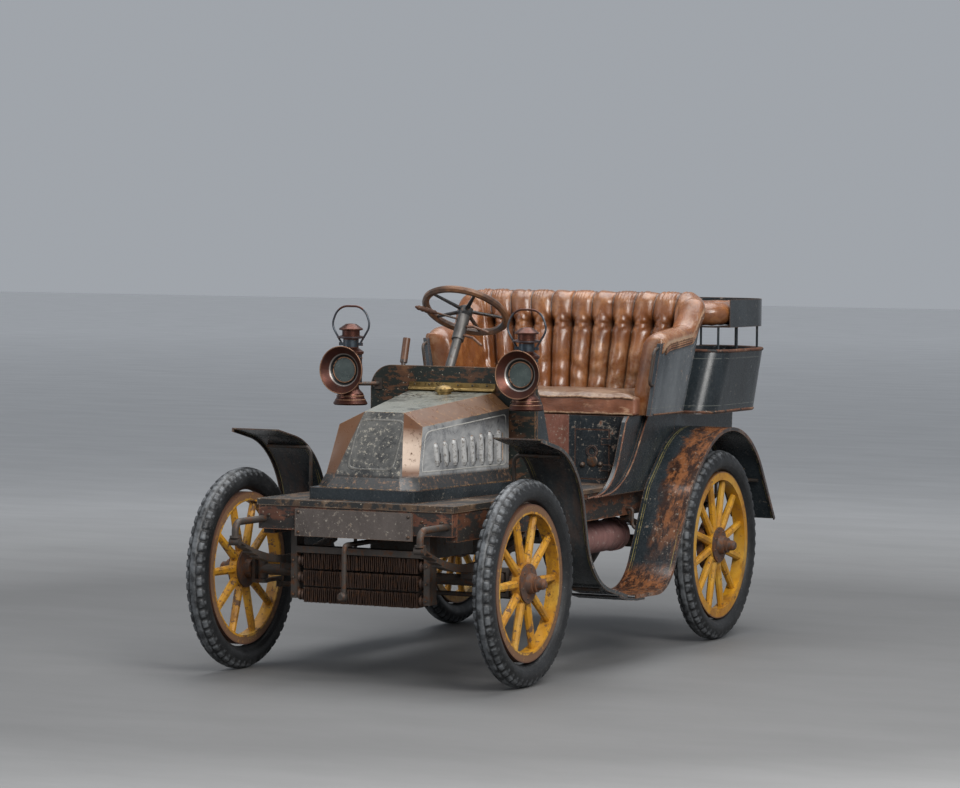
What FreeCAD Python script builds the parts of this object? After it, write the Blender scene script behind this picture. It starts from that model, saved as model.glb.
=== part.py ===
import FreeCAD, Part
import math
import os

# Light motor car of about 1902 with a rear-entrance tonneau. Millimetres.
# While it is drawn, y = 0 lies on the front axle, the nose points to -Y, +X is the car's left
# and the wheels stand on z = 0. save() then moves every piece so that y = 0 is half-way along.

V = FreeCAD.Vector
X_AXIS = V(1, 0, 0)
Y_AXIS = V(0, 1, 0)
Z_AXIS = V(0, 0, 1)

# ---- driving dimensions ----------------------------------------------------------------------
wheelbase = 1848.0
front_track = 1170.0
rear_track = 1184.0
front_tyre_radius = 380.0
rear_tyre_radius = 387.0
tyre_section = 90.0
front_felloe_radius = 288.0
rear_felloe_radius = 300.0
front_spokes = 10
rear_spokes = 12
felloe_depth = 34.0
felloe_width = 50.0

rail_half_width = 398.0      # outside of the side rails
rail_width = 44.0
rail_bottom = 532.0
rail_top = 640.0
frame_front = -213.0
frame_rear = 2300.0

spring_eye_y = -428.0
dash_y = 604.0
dash_thickness = 24.0
dash_half_width = 352.0
dash_top = 1137.0

seat_front = 1330.0
seat_rear = 1770.0
tub_nose_foot = 1852.0        # the front wall slopes back behind the seat
tub_nose_rim = 1926.0
tub_nose_corner = 100.0
tub_rear = 2545.0
tub_floor = 918.0
tub_rim = 1180.0
tub_half_width = 585.0
pad_bottom = 1272.0
pad_top = 1385.0

wing_inner = 445.0
wing_outer = 645.0
sheet = 5.0                  # thickness of the wings' plate
touch = 0.3                  # gap left between a soft piece and what carries it
run_gap = 6.0                # gap between pieces that move past each other

front_hub_z = front_tyre_radius
rear_hub_z = rear_tyre_radius
fork_radius = 20.0           # boss where each dumb iron holds its spring
latch_reach = 24.0           # the tail door's handle stands out this far
origin_y = (tub_rear + latch_reach + spring_eye_y - fork_radius) / 2


# ---- tools of the trade ----------------------------------------------------------------------
def block(x, y, z):
    # a box between three (low, high) pairs
    return Part.makeBox(x[1] - x[0], y[1] - y[0], z[1] - z[0], V(x[0], y[0], z[0]))


def bar(start, end, radius):
    # a round bar or disc from one point to another
    along = V(*end) - V(*start)
    return Part.makeCylinder(radius, along.Length, V(*start), along)


def corner_wire(corners, closed=False):
    # lines through the corners, each (point, radius), with a tangent arc at every radius
    edges = []
    count = len(corners)
    stops = []
    for i, (point, radius) in enumerate(corners):
        inner = closed or 0 < i < count - 1
        if not inner or radius == 0:
            stops.append((point, None, point))
            continue
        back = (corners[i - 1][0] - point).normalize()
        ahead = (corners[(i + 1) % count][0] - point).normalize()
        half = back.getAngle(ahead) / 2
        reach = radius / math.tan(half)
        middle = point + (back + ahead).normalize() * (radius / math.sin(half) - radius)
        stops.append((point + back * reach, middle, point + ahead * reach))
    for i, (start, middle, end) in enumerate(stops):
        if middle is not None:
            edges.append(Part.Arc(start, middle, end).toShape())
        following = stops[(i + 1) % count][0] if closed or i < count - 1 else None
        if following is not None and following.distanceToPoint(end) > 1e-6:
            edges.append(Part.LineSegment(end, following).toShape())
    return Part.Wire(edges)


def rod(corners, radius):
    # a round rod along (x, y, z, bend radius) corners: straight bars and turned bends
    path = corner_wire([(V(*corner[:3]), corner[3]) for corner in corners])
    parts = []
    for edge in path.OrderedEdges:
        start = edge.firstVertex(True).Point
        end = edge.lastVertex(True).Point
        if isinstance(edge.Curve, Part.Line):
            parts.append(Part.makeCylinder(radius, edge.Length, start, end - start))
            continue
        centre = edge.Curve.Center
        axis = (start - centre).cross(end - centre)
        angle = math.degrees((start - centre).getAngle(end - centre))
        ring = Part.Face(Part.Wire(Part.makeCircle(radius, start, axis.cross(start - centre))))
        parts.append(ring.revolve(centre, axis, angle))
    return joined(parts)


def plate(outline, plane, low, high):
    # a plate cut to an outline of (a, b) or (a, b, radius) corners: plane "yz" is pushed out
    # along X, "xz" along Y and "xy" along Z, from low to high
    place = {"yz": lambda a, b: V(low, a, b),
             "xz": lambda a, b: V(a, low, b),
             "xy": lambda a, b: V(a, b, low)}[plane]
    push = {"yz": X_AXIS, "xz": Y_AXIS, "xy": Z_AXIS}[plane] * (high - low)
    corners = [(place(c[0], c[1]), c[2] if len(c) > 2 else 0) for c in outline]
    return Part.Face(corner_wire(corners, closed=True)).extrude(push)


def beside(corners, offset):
    # the (a, b, radius) line set off to its left, with its bend radii kept concentric
    moved = []
    for i, (a, b, radius) in enumerate(corners):
        normals = []
        for j in (i - 1, i):
            if 0 <= j < len(corners) - 1:
                run = V(corners[j + 1][0] - corners[j][0], corners[j + 1][1] - corners[j][1], 0)
                run.normalize()
                normals.append(V(-run.y, run.x, 0))
        total = normals[0] + normals[-1]
        shift = total * (offset * 2 / total.dot(total))
        turn = normals[0].x * normals[-1].y - normals[0].y * normals[-1].x
        bend = radius - math.copysign(1, turn) * offset if radius else 0
        moved.append((a + shift.x, b + shift.y, bend))
    return moved


def strip(corners, thickness, low, high):
    # a bent plate: the (y, z, radius) line with half the thickness each side, pushed along X
    left = beside(corners, thickness / 2)
    right = beside(corners, -thickness / 2)
    return plate(left + right[::-1], "yz", low, high)


def turned(profile, foot, axis=Z_AXIS):
    # a closed (radius, height) profile turned about an axis that starts at foot
    points = [V(radius, 0, height) for radius, height in profile]
    body = Part.Face(Part.makePolygon(points + points[:1])).revolve(V(), Z_AXIS, 360)
    body.Placement = FreeCAD.Placement(V(*foot), FreeCAD.Rotation(Z_AXIS, axis))
    return body


def frustum(low_outline, low, high_outline, high):
    # straight-sided block between two level outlines of (x, y, radius) corners
    wires = []
    for outline, z in ((low_outline, low), (high_outline, high)):
        wires.append(corner_wire([(V(x, y, z), radius) for x, y, radius in outline], closed=True))
    return Part.makeLoft(wires, True, True)


def leaning(half, rear, corner, front, low, high, lean_out, lean_back):
    # a rounded block whose sides lean out and whose back leans back, each half drawn straight up
    # the slope and carried past the middle so that the two meet
    outline = [(-200, front, 0), (half, front, 0), (half, rear, corner), (-200, rear, 0)]
    wire = corner_wire([(V(x, y, low), radius) for x, y, radius in outline], closed=True)
    right = Part.Face(wire).extrude(V(lean_out, lean_back, high - low))
    return joined([right, mirrored(right)])


def mirrored(shape):
    return shape.mirror(V(), X_AXIS)


def both_sides(shape):
    return [shape, mirrored(shape)]


def joined(shapes):
    return shapes[0].multiFuse(shapes[1:]).removeSplitter() if len(shapes) > 1 else shapes[0]


def save(node, solids):
    shape = Part.makeCompound(solids) if isinstance(solids, list) else solids
    shape = shape.copy()
    shape.translate(V(0, -origin_y, 0))
    shape.exportStep("parts/" + node + ".step")
    print(node, len(shape.Solids), shape.isValid())


os.makedirs("parts", exist_ok=True)

# ---- frame -----------------------------------------------------------------------------------
rail_inner = rail_half_width - rail_width
member_depth = 40.0
rail = block((rail_inner, rail_half_width), (frame_front + member_depth, frame_rear),
             (rail_bottom, rail_top))
save("side_rails", both_sides(rail))

# front board, engine bearer, gearbox bearer, seat bearer and tail bearer
cross_members = [block((-rail_half_width, rail_half_width), (frame_front, frame_front + member_depth),
                       (rail_bottom + 20, rail_top))]
bearer_rows = [  # (front y, depth, top below the rails' top)
    (90.0, 40.0, 40.0),
    (720.0, 40.0, 30.0),
    (1420.0, 44.0, 20.0),
    (frame_rear - 44.0, 44.0, 10.0),
]
for front, depth, drop in bearer_rows:
    cross_members.append(block((-rail_inner, rail_inner), (front, front + depth),
                               (rail_bottom + 10, rail_top - drop)))
save("cross_members", cross_members)

spring_x = rail_half_width - rail_width / 2
spring_width = 40.0
eye_radius = 14.0
iron_radius = 13.0
eye_z = rail_bottom - eye_radius
# dumb irons: round bars out of the front board that bend down to the springs' front eyes
iron_top = 589.0
irons = rod([(spring_x, frame_front, iron_top, 0), (spring_x, spring_eye_y, iron_top, 34),
             (spring_x, spring_eye_y, eye_z + eye_radius + 8, 0)], iron_radius)
fork = turned([(0, 0), (fork_radius, 0), (fork_radius, 8), (0, 8)], (spring_x, spring_eye_y, eye_z + eye_radius))
save("dumb_irons", both_sides(joined([irons, fork])))


def leaf_spring(x, front_y, rear_y, eye_height, seat_y, seat_z, leaves, leaf):
    # flat arcs stacked above the axle pad: the longest leaf is rolled into an eye at each end
    parts = []
    for i in range(leaves):
        shorten = i * 0.11
        ends = []
        for end_y in (front_y, rear_y):
            ends.append(seat_y + (end_y - seat_y) * (1 - shorten))
        rise = (eye_height - seat_z) * (1 - shorten) ** 2
        lower = [V(x, ends[0], seat_z + rise), V(x, seat_y, seat_z), V(x, ends[1], seat_z + rise)]
        drop = V(0, 0, -i * leaf)
        upper = V(0, 0, leaf)
        low_arc = Part.Arc(*[p + drop for p in lower]).toShape()
        high_arc = Part.Arc(*[p + drop + upper for p in lower]).toShape()
        caps = [Part.LineSegment(lower[k] + drop, lower[k] + drop + upper).toShape() for k in (0, 2)]
        face = Part.Face(Part.Wire([low_arc, caps[1], high_arc, caps[0]]))
        face.translate(X_AXIS * (-spring_width / 2))
        parts.append(face.extrude(X_AXIS * spring_width))
    for end_y in (front_y, rear_y):
        parts.append(bar((x - spring_width / 2, end_y, eye_height),
                         (x + spring_width / 2, end_y, eye_height), eye_radius))
    return joined(parts)


front_spring_rear = 428.0
leaf = 7.0
front_leaves = 4
axle_radius = 21.0
spring_pad = 12.0
front_pad_z = front_hub_z + axle_radius + spring_pad
front_leaf_z = front_pad_z + leaf * (front_leaves - 1)
front_spring = leaf_spring(spring_x, spring_eye_y, front_spring_rear, eye_z, 0.0, front_leaf_z,
                           front_leaves, leaf)
save("front_springs", both_sides(front_spring))

# ---- front axle, knuckles and track rod ------------------------------------------------------
kingpin_x = 495.0
kingpin_radius = 9.0
pin_clearance = 0.06
eye_outer = 19.0
eye_half_height = 35.0
lug_thickness = 14.0
pin_gap = 3.0                # running gap over and under the axle's eyes
arm_length = 130.0
rod_eye = 13.0
arm_pin_radius = 6.0
stub_radius = 14.0
hub_inner_face = front_track / 2 - 46
hub_outer_face = front_track / 2 + 46
web_outer = hub_inner_face - run_gap
web_thickness = 12.0

axle_parts = [bar((-kingpin_x, 0, front_hub_z), (kingpin_x, 0, front_hub_z), axle_radius)]
for side in (-1, 1):
    axle_parts.append(bar((side * kingpin_x, 0, front_hub_z - eye_half_height),
                          (side * kingpin_x, 0, front_hub_z + eye_half_height), eye_outer))
    axle_parts.append(block((side * spring_x - 23, side * spring_x + 23), (-46, 46),
                            (front_hub_z + 10, front_pad_z)))
front_axle = joined(axle_parts)
for side in (-1, 1):
    front_axle = front_axle.cut(bar((side * kingpin_x, 0, front_hub_z - 60),
                                    (side * kingpin_x, 0, front_hub_z + 60),
                                    kingpin_radius + pin_clearance))
save("front_axle", front_axle)

lug_low = front_hub_z - eye_half_height - pin_gap - lug_thickness
lug_high = front_hub_z + eye_half_height + pin_gap
arm_z = lug_low + lug_thickness / 2
knuckle_parts = [
    bar((kingpin_x, 0, lug_low), (kingpin_x, 0, lug_high + lug_thickness), kingpin_radius),
    bar((kingpin_x, 0, lug_low), (kingpin_x, 0, lug_low + lug_thickness), eye_outer),
    bar((kingpin_x, 0, lug_high), (kingpin_x, 0, lug_high + lug_thickness), eye_outer),
    block((web_outer - web_thickness, web_outer), (-18, 18), (lug_low, lug_high + lug_thickness)),
    block((kingpin_x, web_outer), (-18, 18), (lug_low, lug_low + lug_thickness)),
    block((kingpin_x, web_outer), (-18, 18), (lug_high, lug_high + lug_thickness)),
    bar((web_outer - 4, 0, front_hub_z), (hub_outer_face + 10, 0, front_hub_z), stub_radius),
    block((kingpin_x - 10, kingpin_x + 10), (0, arm_length), (lug_low, lug_low + lug_thickness)),
    bar((kingpin_x, arm_length, lug_low), (kingpin_x, arm_length, lug_low + lug_thickness), 10),
    bar((kingpin_x, arm_length, lug_low - 26), (kingpin_x, arm_length, lug_low + 1), arm_pin_radius),
]
left_knuckle = joined(knuckle_parts)
save("left_knuckle", left_knuckle)
save("right_knuckle", mirrored(left_knuckle))

# the track rod hangs from pins under the two arms; its right eye is a little wider
rod_z = lug_low - 14
track_parts = [bar((-kingpin_x, arm_length, rod_z), (kingpin_x, arm_length, rod_z), 9)]
for side in (-1, 1):
    track_parts.append(bar((side * kingpin_x, arm_length, rod_z - 10),
                           (side * kingpin_x, arm_length, rod_z + 10), rod_eye))
track_rod = joined(track_parts)
for side, clearance in ((1, pin_clearance), (-1, 0.5)):
    track_rod = track_rod.cut(bar((side * kingpin_x, arm_length, rod_z - 40),
                                  (side * kingpin_x, arm_length, rod_z + 40),
                                  arm_pin_radius + clearance))
save("track_rod", track_rod)

# ---- rear springs, axle and drive ------------------------------------------------------------
rear_axle_radius = 26.0
rear_pad_z = rear_hub_z + rear_axle_radius + spring_pad
rear_leaves = 5
rear_leaf_z = rear_pad_z + leaf * (rear_leaves - 1)
rear_spring_front = wheelbase - 430
rear_spring_rear = wheelbase + 430
rear_spring = leaf_spring(spring_x, rear_spring_front, rear_spring_rear, eye_z, wheelbase,
                          rear_leaf_z, rear_leaves, leaf)
save("rear_springs", both_sides(rear_spring))

rear_web = rear_track / 2 - 46 - run_gap
diff_radius = 115.0
rear_parts = [
    bar((-rear_web, wheelbase, rear_hub_z), (rear_web, wheelbase, rear_hub_z), rear_axle_radius),
    turned([(0, -70), (60, -70), (diff_radius, -30), (diff_radius, 30), (60, 70), (0, 70)],
           (0, wheelbase, rear_hub_z), X_AXIS),
    bar((0, wheelbase - diff_radius - 45, rear_hub_z), (0, wheelbase, rear_hub_z), 45),
]
for side in (-1, 1):
    rear_parts.append(block((side * spring_x - 23, side * spring_x + 23),
                            (wheelbase - 55, wheelbase + 55), (rear_hub_z + 12, rear_pad_z)))
    rear_parts.append(bar((side * (rear_web - 8), wheelbase, rear_hub_z),
                          (side * rear_web, wheelbase, rear_hub_z), 60))
    rear_parts.append(bar((side * (rear_web - 4), wheelbase, rear_hub_z),
                          (side * (rear_track / 2 + 56), wheelbase, rear_hub_z), stub_radius))
rear_axle = joined(rear_parts)
save("rear_axle", rear_axle)

gearbox_x = (-95.0, 95.0)
gearbox_y = (760.0, 1080.0)
gearbox_z = (400.0, 590.0)
shaft_radius = 19.0
drive_parts = [
    block(gearbox_x, gearbox_y, gearbox_z),
    bar((0, gearbox_y[1] - 5, rear_hub_z + 60), (0, wheelbase - diff_radius - 45, rear_hub_z),
        shaft_radius),
    bar((0, 560, 490), (0, gearbox_y[0] + 5, 490), shaft_radius),
]
save("drive_line", joined(drive_parts).cut(rear_axle))

engine_x = (-120.0, 120.0)
engine_y = (150.0, 540.0)
engine_z = (430.0, 900.0)
engine = block(engine_x, (engine_y[0], 440), (engine_z[0], engine_z[1]))
sump = block(engine_x, engine_y, (engine_z[0], 560))
bearer = block((-rail_inner, rail_inner), (300, 340), (rail_bottom + 20, rail_bottom + 60))
save("engine_block", joined([engine, sump, bearer]))

silencer_x = 274.0
silencer_z = 440.0
silencer_y = (1000.0, 1530.0)
silencer_radius = 63.0
silencer = joined([
    bar((silencer_x, silencer_y[0], silencer_z), (silencer_x, silencer_y[1], silencer_z),
        silencer_radius),
    bar((silencer_x, silencer_y[1] - 34, silencer_z), (silencer_x, silencer_y[1] + 16, silencer_z),
        silencer_radius + 5),
    bar((silencer_x, silencer_y[0] - 12, silencer_z), (silencer_x, silencer_y[0] + 24, silencer_z),
        silencer_radius + 5),
    block((silencer_x - 20, silencer_x + 20), (1180, 1210), (silencer_z + 40, rail_bottom + 30)),
    block((silencer_x - 20, rail_inner), (1180, 1210), (rail_bottom + 4, rail_bottom + 30)),
    rod([(silencer_x, silencer_y[1], silencer_z - 20, 0),
         (silencer_x, silencer_y[1] + 130, silencer_z - 20, 0)], 19),
])
save("silencer", silencer)

# ---- wheels ----------------------------------------------------------------------------------
spoke_root = 64.0
spoke_root_width = 34.0
spoke_tip_width = 26.0
spoke_depth = 30.0
flange_radius = 72.0
flange_thickness = 7.0
barrel_radius = 40.0
cap_radius = 26.0
cap_reach = 68.0             # hub cap's end beyond the outer flange


def tyre(x, y, radius, felloe_radius):
    # beaded-edge tyre: a flat tread, rounded shoulders and a bead seated on the felloe
    half = tyre_section / 2
    seat = felloe_radius + touch
    middle = (radius + seat) / 2
    profile = [(seat, -half * 0.55), (middle - 6, -half), (radius - 20, -half * 0.92),
               (radius - 3, -half * 0.5), (radius, -half * 0.3), (radius, half * 0.3),
               (radius - 3, half * 0.5), (radius - 20, half * 0.92), (middle - 6, half),
               (seat, half * 0.55)]
    return turned(profile, (x, y, radius), X_AXIS)


def spoke_section(depth, width, z):
    # a flat-sided spoke with chamfered corners
    cut = depth * 0.3
    across = depth / 2
    half = width / 2
    corners = [(-across, -half + cut), (-across + cut, -half), (across - cut, -half),
               (across, -half + cut), (across, half - cut), (across - cut, half),
               (-across + cut, half), (-across, half - cut)]
    points = [V(a, b, z) for a, b in corners]
    return Part.makePolygon(points + points[:1])


def wooden_wheel(x, y, height, felloe_radius, spokes):
    # felloe ring and tapered spokes, with a nave that the hub's flanges clamp
    parts = [turned([(felloe_radius - felloe_depth, -felloe_width / 2),
                     (felloe_radius, -felloe_width / 2), (felloe_radius, felloe_width / 2),
                     (felloe_radius - felloe_depth, felloe_width / 2)], (x, y, height), X_AXIS)]
    sections = [spoke_section(spoke_depth, spoke_root_width, spoke_root),
                spoke_section(spoke_depth - 6, spoke_tip_width, felloe_radius - felloe_depth + 4)]
    for i in range(spokes):
        spoke = Part.makeLoft(sections, True, True)
        spoke.rotate(V(), X_AXIS, 360.0 * (i + 0.5) / spokes)
        spoke.translate(V(x, y, height))
        parts.append(spoke)
    nave = turned([(barrel_radius, -spoke_depth / 2), (spoke_root + 12, -spoke_depth / 2),
                   (spoke_root + 12, spoke_depth / 2), (barrel_radius, spoke_depth / 2)],
                  (x, y, height), X_AXIS)
    return joined(parts + [nave])


def hub(x, y, height, side, drum_inner):
    # flanges each side of the nave, a long barrel and a stepped cap over the axle's end
    inner = -46.0
    flange = spoke_depth / 2
    bore = stub_radius + pin_clearance
    bore_end = 60.0
    end = flange + flange_thickness + cap_reach
    profile = [(bore, inner), (barrel_radius - 8, inner), (barrel_radius - 6, -flange - 7),
               (flange_radius, -flange - flange_thickness), (flange_radius, -flange),
               (barrel_radius, -flange), (barrel_radius, flange), (flange_radius, flange),
               (flange_radius, flange + flange_thickness), (barrel_radius, flange + 10),
               (barrel_radius - 6, 46), (cap_radius + 4, 48), (cap_radius + 4, 58),
               (cap_radius - 4, 60), (cap_radius - 6, end - 8), (cap_radius - 14, end), (0, end),
               (0, bore_end), (bore, bore_end)]
    body = turned(profile, (x, y, height), X_AXIS * side)
    if drum_inner:
        drum = turned([(drum_inner - 8, -40), (drum_inner, -40), (drum_inner, -flange - 2),
                       (flange_radius - 10, -flange - 2), (flange_radius - 10, -flange - 6),
                       (drum_inner - 8, -flange - 6)], (x, y, height), X_AXIS * side)
        body = joined([body, drum])
    return body


wheel_rows = [  # (name, side, y, hub height, half track, tyre radius, felloe radius, spokes, drum)
    ("front_left", 1, 0.0, front_hub_z, front_track / 2, front_tyre_radius, front_felloe_radius,
     front_spokes, 0),
    ("rear_left", 1, wheelbase, rear_hub_z, rear_track / 2, rear_tyre_radius, rear_felloe_radius,
     rear_spokes, 105.0),
]
for name, side, y, height, half_track, radius, felloe_radius, spokes, drum_radius in wheel_rows:
    pieces = [("tyre", tyre(half_track, y, radius, felloe_radius)),
              ("wheel", wooden_wheel(half_track, y, height, felloe_radius, spokes)),
              ("hub", hub(half_track, y, height, side, drum_radius))]
    for piece, shape in pieces:
        save(name + "_" + piece, shape)
        save(name.replace("left", "right") + "_" + piece, mirrored(shape))

# ---- radiator and starting handle ------------------------------------------------------------
radiator_half_width = 286.0
radiator_y = -167.0
radiator_depth = 58.0
radiator_bottom = 282.0
fin_size = 56.0
fin_pitch = 8.4
fin_thickness = 1.6
fin_rows = 3
fin_columns = 56
row_pitch = 63.0
core_size = 20.0
end_bar = 24.0
top_bar_height = 24.0

row_middle_y = radiator_y + radiator_depth / 2
lowest_row_z = radiator_bottom + fin_size / 2
row_z = [lowest_row_z + i * row_pitch for i in range(fin_rows)]
radiator_top = row_z[-1] + fin_size / 2 + 2 + top_bar_height
end_inner = radiator_half_width - end_bar
fin_block = fin_pitch * (fin_columns - 1) / 2
rows = []
for z in row_z:
    cells = [block((-end_inner, end_inner),
                   (row_middle_y - core_size / 2, row_middle_y + core_size / 2),
                   (z - core_size / 2, z + core_size / 2))]
    for i in range(fin_columns):
        x = -fin_block + i * fin_pitch
        cells.append(block((x - fin_thickness / 2, x + fin_thickness / 2),
                           (row_middle_y - fin_size / 2 + 1, row_middle_y + fin_size / 2 - 1),
                           (z - fin_size / 2, z + fin_size / 2)))
    rows.append(joined(cells))
save("radiator_tubes", rows)

frame_parts = []
for side in (-1, 1):
    outer = sorted((side * (radiator_half_width - end_bar), side * radiator_half_width))
    frame_parts.append(block(outer, (radiator_y, radiator_y + radiator_depth),
                             (radiator_bottom + 14, rail_bottom + 20)))
frame_parts.append(block((-radiator_half_width, radiator_half_width),
                         (radiator_y, radiator_y + radiator_depth),
                         (radiator_top - top_bar_height, radiator_top)))
frame_parts.append(block((-radiator_half_width, radiator_half_width),
                         (radiator_y + radiator_depth - 1, radiator_y + radiator_depth + 6),
                         (radiator_bottom + 14, radiator_bottom + 30)))
for side in (-1, 1):
    hanger = sorted((side * (radiator_half_width - 12), side * radiator_half_width))
    frame_parts.append(block(hanger, (frame_front + member_depth, radiator_y + radiator_depth),
                             (rail_bottom + 20, rail_bottom + 44)))
radiator_frame = joined(frame_parts)
save("radiator_frame", radiator_frame)

handle_x = -30.0
handle_z = radiator_top + 16
handle_y = radiator_y - 66
handle_drop = 196.0
handle = joined([
    rod([(handle_x, engine_y[0], handle_z, 0), (handle_x, handle_y, handle_z, 22),
         (handle_x, handle_y, handle_z - handle_drop, 0)], 9.5),
    turned([(0, 0), (11, 0), (18, 10), (18, 26), (11, 36), (0, 36)],
           (handle_x, handle_y + 6, handle_z - handle_drop + 8), -Y_AXIS),
])
save("starting_handle", handle)

# ---- number plate board, left blank ----------------------------------------------------------
plate_half_width = 240.0
plate_height = 102.0
plate_thickness = 12.0
plate_top = rail_top - 6
save("number_plate", block((-plate_half_width, plate_half_width),
                           (frame_front - plate_thickness, frame_front),
                           (plate_top - plate_height, plate_top)))

# ---- deck, plinth and bonnet -----------------------------------------------------------------
deck_thickness = 24.0
deck_top = rail_top + deck_thickness
plinth_top = 709.0
plinth_front = -163.0
plinth_front_half = 217.0
plinth_rear_half = 276.0
plinth_wall = 24.0
dash_front = dash_y - dash_thickness / 2
dash_rear = dash_y + dash_thickness / 2

deck = block((-rail_half_width - 6, rail_half_width + 6), (frame_front - 4, dash_rear),
             (rail_top, deck_top))
bay = block((-plinth_front_half + 40, plinth_front_half - 40), (-90, dash_front - 30),
            (rail_top - 1, deck_top + 1))
front_deck = deck.cut(bay)

plinth_outer = [(-plinth_front_half, plinth_front, 14), (plinth_front_half, plinth_front, 14),
                (plinth_rear_half, dash_front - 1, 0), (-plinth_rear_half, dash_front - 1, 0)]
plinth_cut = 62.0             # the opening's front corners are cut off under the corner strips
plinth_in_x = plinth_front_half - plinth_wall
plinth_in_y = plinth_front + plinth_wall
plinth_hole = [(-plinth_in_x, plinth_in_y + plinth_cut, 0), (-plinth_in_x + plinth_cut, plinth_in_y, 0),
               (plinth_in_x - plinth_cut, plinth_in_y, 0), (plinth_in_x, plinth_in_y + plinth_cut, 0),
               (plinth_rear_half - plinth_wall, dash_front - plinth_wall, 0),
               (-plinth_rear_half + plinth_wall, dash_front - plinth_wall, 0)]
plinth = plate(plinth_outer, "xy", deck_top, plinth_top).cut(
    plate(plinth_hole, "xy", deck_top - 1, plinth_top + 1))
save("bonnet_plinth", plinth)

seat_gap = 0.5               # the bonnet rests on felt
hood_bottom = plinth_top + seat_gap
hood_front_half = 139.0       # half-width of the nose panel at its foot
hood_front_y = -136.0
hood_side_half = 196.0        # where the side panel starts, behind the corner strip
hood_side_y = -90.0
hood_shoulder_front = 936.0
hood_shoulder_half = 172.0
hood_shoulder_y = -7.0
hood_top_front = 984.0
hood_top_front_half = 82.0
hood_top_y = 20.0
hood_rear_foot_half = 250.0
hood_rear_shoulder = 985.0
hood_rear_shoulder_half = 248.0
hood_rear_top = 1040.0
hood_rear_top_half = 180.0
hood_rear_y = dash_front - 14
hood_skin = 9.0
flare_height = 46.0
flare_reach = 14.0


def ruled(low, high):
    return Part.makeRuledSurface(Part.makeLine(*low), Part.makeLine(*high))


def flat_face(corners):
    return Part.Face(Part.makePolygon(corners + corners[:1]))


def hood_solid(inset):
    # nose panel, twisted corner strips, sides, shoulder strips and top, on a flared foot
    half = []
    for x, y, z, out, back, down in [
            (hood_front_half, hood_front_y, hood_bottom, 0.7, 1.2, 0.0),
            (hood_top_front_half, hood_top_y, hood_top_front, 0.5, 1.0, 1.0),
            (hood_side_half, hood_side_y, hood_bottom, 1.0, 0.7, 0.0),
            (hood_shoulder_half, hood_shoulder_y, hood_shoulder_front, 1.0, 0.9, 0.6),
            (hood_rear_foot_half, hood_rear_y, hood_bottom, 1.0, 0.0, 0.0),
            (hood_rear_shoulder_half, hood_rear_y, hood_rear_shoulder, 1.0, 0.0, 0.6),
            (hood_rear_top_half, hood_rear_y, hood_rear_top, 0.5, 0.0, 1.0)]:
        half.append(V(x - inset * out, y + inset * back, z - inset * down))
    other = [V(-p.x, p.y, p.z) for p in half]
    faces = []
    for foot, top, side, shoulder, rear_foot, rear_shoulder, rear_top in (half, other):
        faces += [ruled((foot, top), (side, shoulder)),
                  ruled((side, shoulder), (rear_foot, rear_shoulder)),
                  ruled((shoulder, top), (rear_shoulder, rear_top))]
    faces.append(flat_face([other[0], half[0], half[1], other[1]]))
    faces.append(flat_face([other[1], half[1], half[6], other[6]]))
    faces.append(flat_face([half[0], half[2], half[4], other[4], other[2], other[0]]))
    faces.append(flat_face([half[4], half[5], half[6], other[6], other[5], other[4]]))
    main = Part.makeSolid(Part.makeShell(faces))

    def foot_outline(reach, up):
        front_x = hood_front_half + (hood_top_front_half - hood_front_half) * up + reach - inset
        front_y = hood_front_y + (hood_top_y - hood_front_y) * up - reach + inset
        side_x = hood_side_half + (hood_shoulder_half - hood_side_half) * up + reach - inset
        side_y = hood_side_y + (hood_shoulder_y - hood_side_y) * up - reach * 0.5 + inset * 0.5
        rear_x = hood_rear_foot_half + reach - inset
        return [(-front_x, front_y, 0), (front_x, front_y, 0), (side_x, side_y, 0),
                (rear_x, hood_rear_y, 0), (-rear_x, hood_rear_y, 0), (-side_x, side_y, 0)]

    up = flare_height / (hood_shoulder_front - hood_bottom)
    flare = frustum(foot_outline(flare_reach, 0.0), hood_bottom, foot_outline(0.0, up * 0.9),
                    hood_bottom + flare_height)
    return joined([main, flare])


def capsule(low, high, radius):
    # a round bar whose ends taper off
    axis = V(*high) - V(*low)
    tall = axis.Length
    return turned([(0, -radius), (radius * 0.72, -radius * 0.7), (radius, 0), (radius, tall),
                   (radius * 0.72, tall + radius * 0.7), (0, tall + radius)], low, axis)


louvres = 8
louvre_pitch = 62.8
louvre_first_y = 66.0
louvre_radius = 17.0
louvre_sunk = 6.0             # the bulge's centre line lies this far inside the panel
louvre_low = 784.0
louvre_fall = 1.8             # each louvre's foot is this much below the one ahead
louvre_top = 876.0
louvre_rise = 4.6             # each louvre's top stands this much above the one ahead

hood_outer = hood_solid(0.0)
hood_cavity = hood_solid(hood_skin)
hood_cavity = hood_cavity.fuse(block((-hood_rear_shoulder_half + hood_skin,
                                      hood_rear_shoulder_half - hood_skin),
                                     (hood_rear_y - 1, hood_rear_y + 1),
                                     (hood_bottom + 8, hood_rear_shoulder - 12)))
hood = hood_outer.cut(hood_cavity)


def hood_side(y, z):
    # half-width of the bonnet's side at a distance back and a height
    start_y = hood_side_y + (hood_shoulder_y - hood_side_y) * (z - hood_bottom) / (
        hood_shoulder_front - hood_bottom)
    along = (y - start_y) / (hood_rear_y - start_y)
    tall = hood_shoulder_front + (hood_rear_shoulder - hood_shoulder_front) * along - hood_bottom
    up = (z - hood_bottom) / tall
    front_x = hood_side_half + (hood_shoulder_half - hood_side_half) * up
    rear_x = hood_rear_foot_half + (hood_rear_shoulder_half - hood_rear_foot_half) * up
    return front_x + (rear_x - front_x) * along


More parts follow.
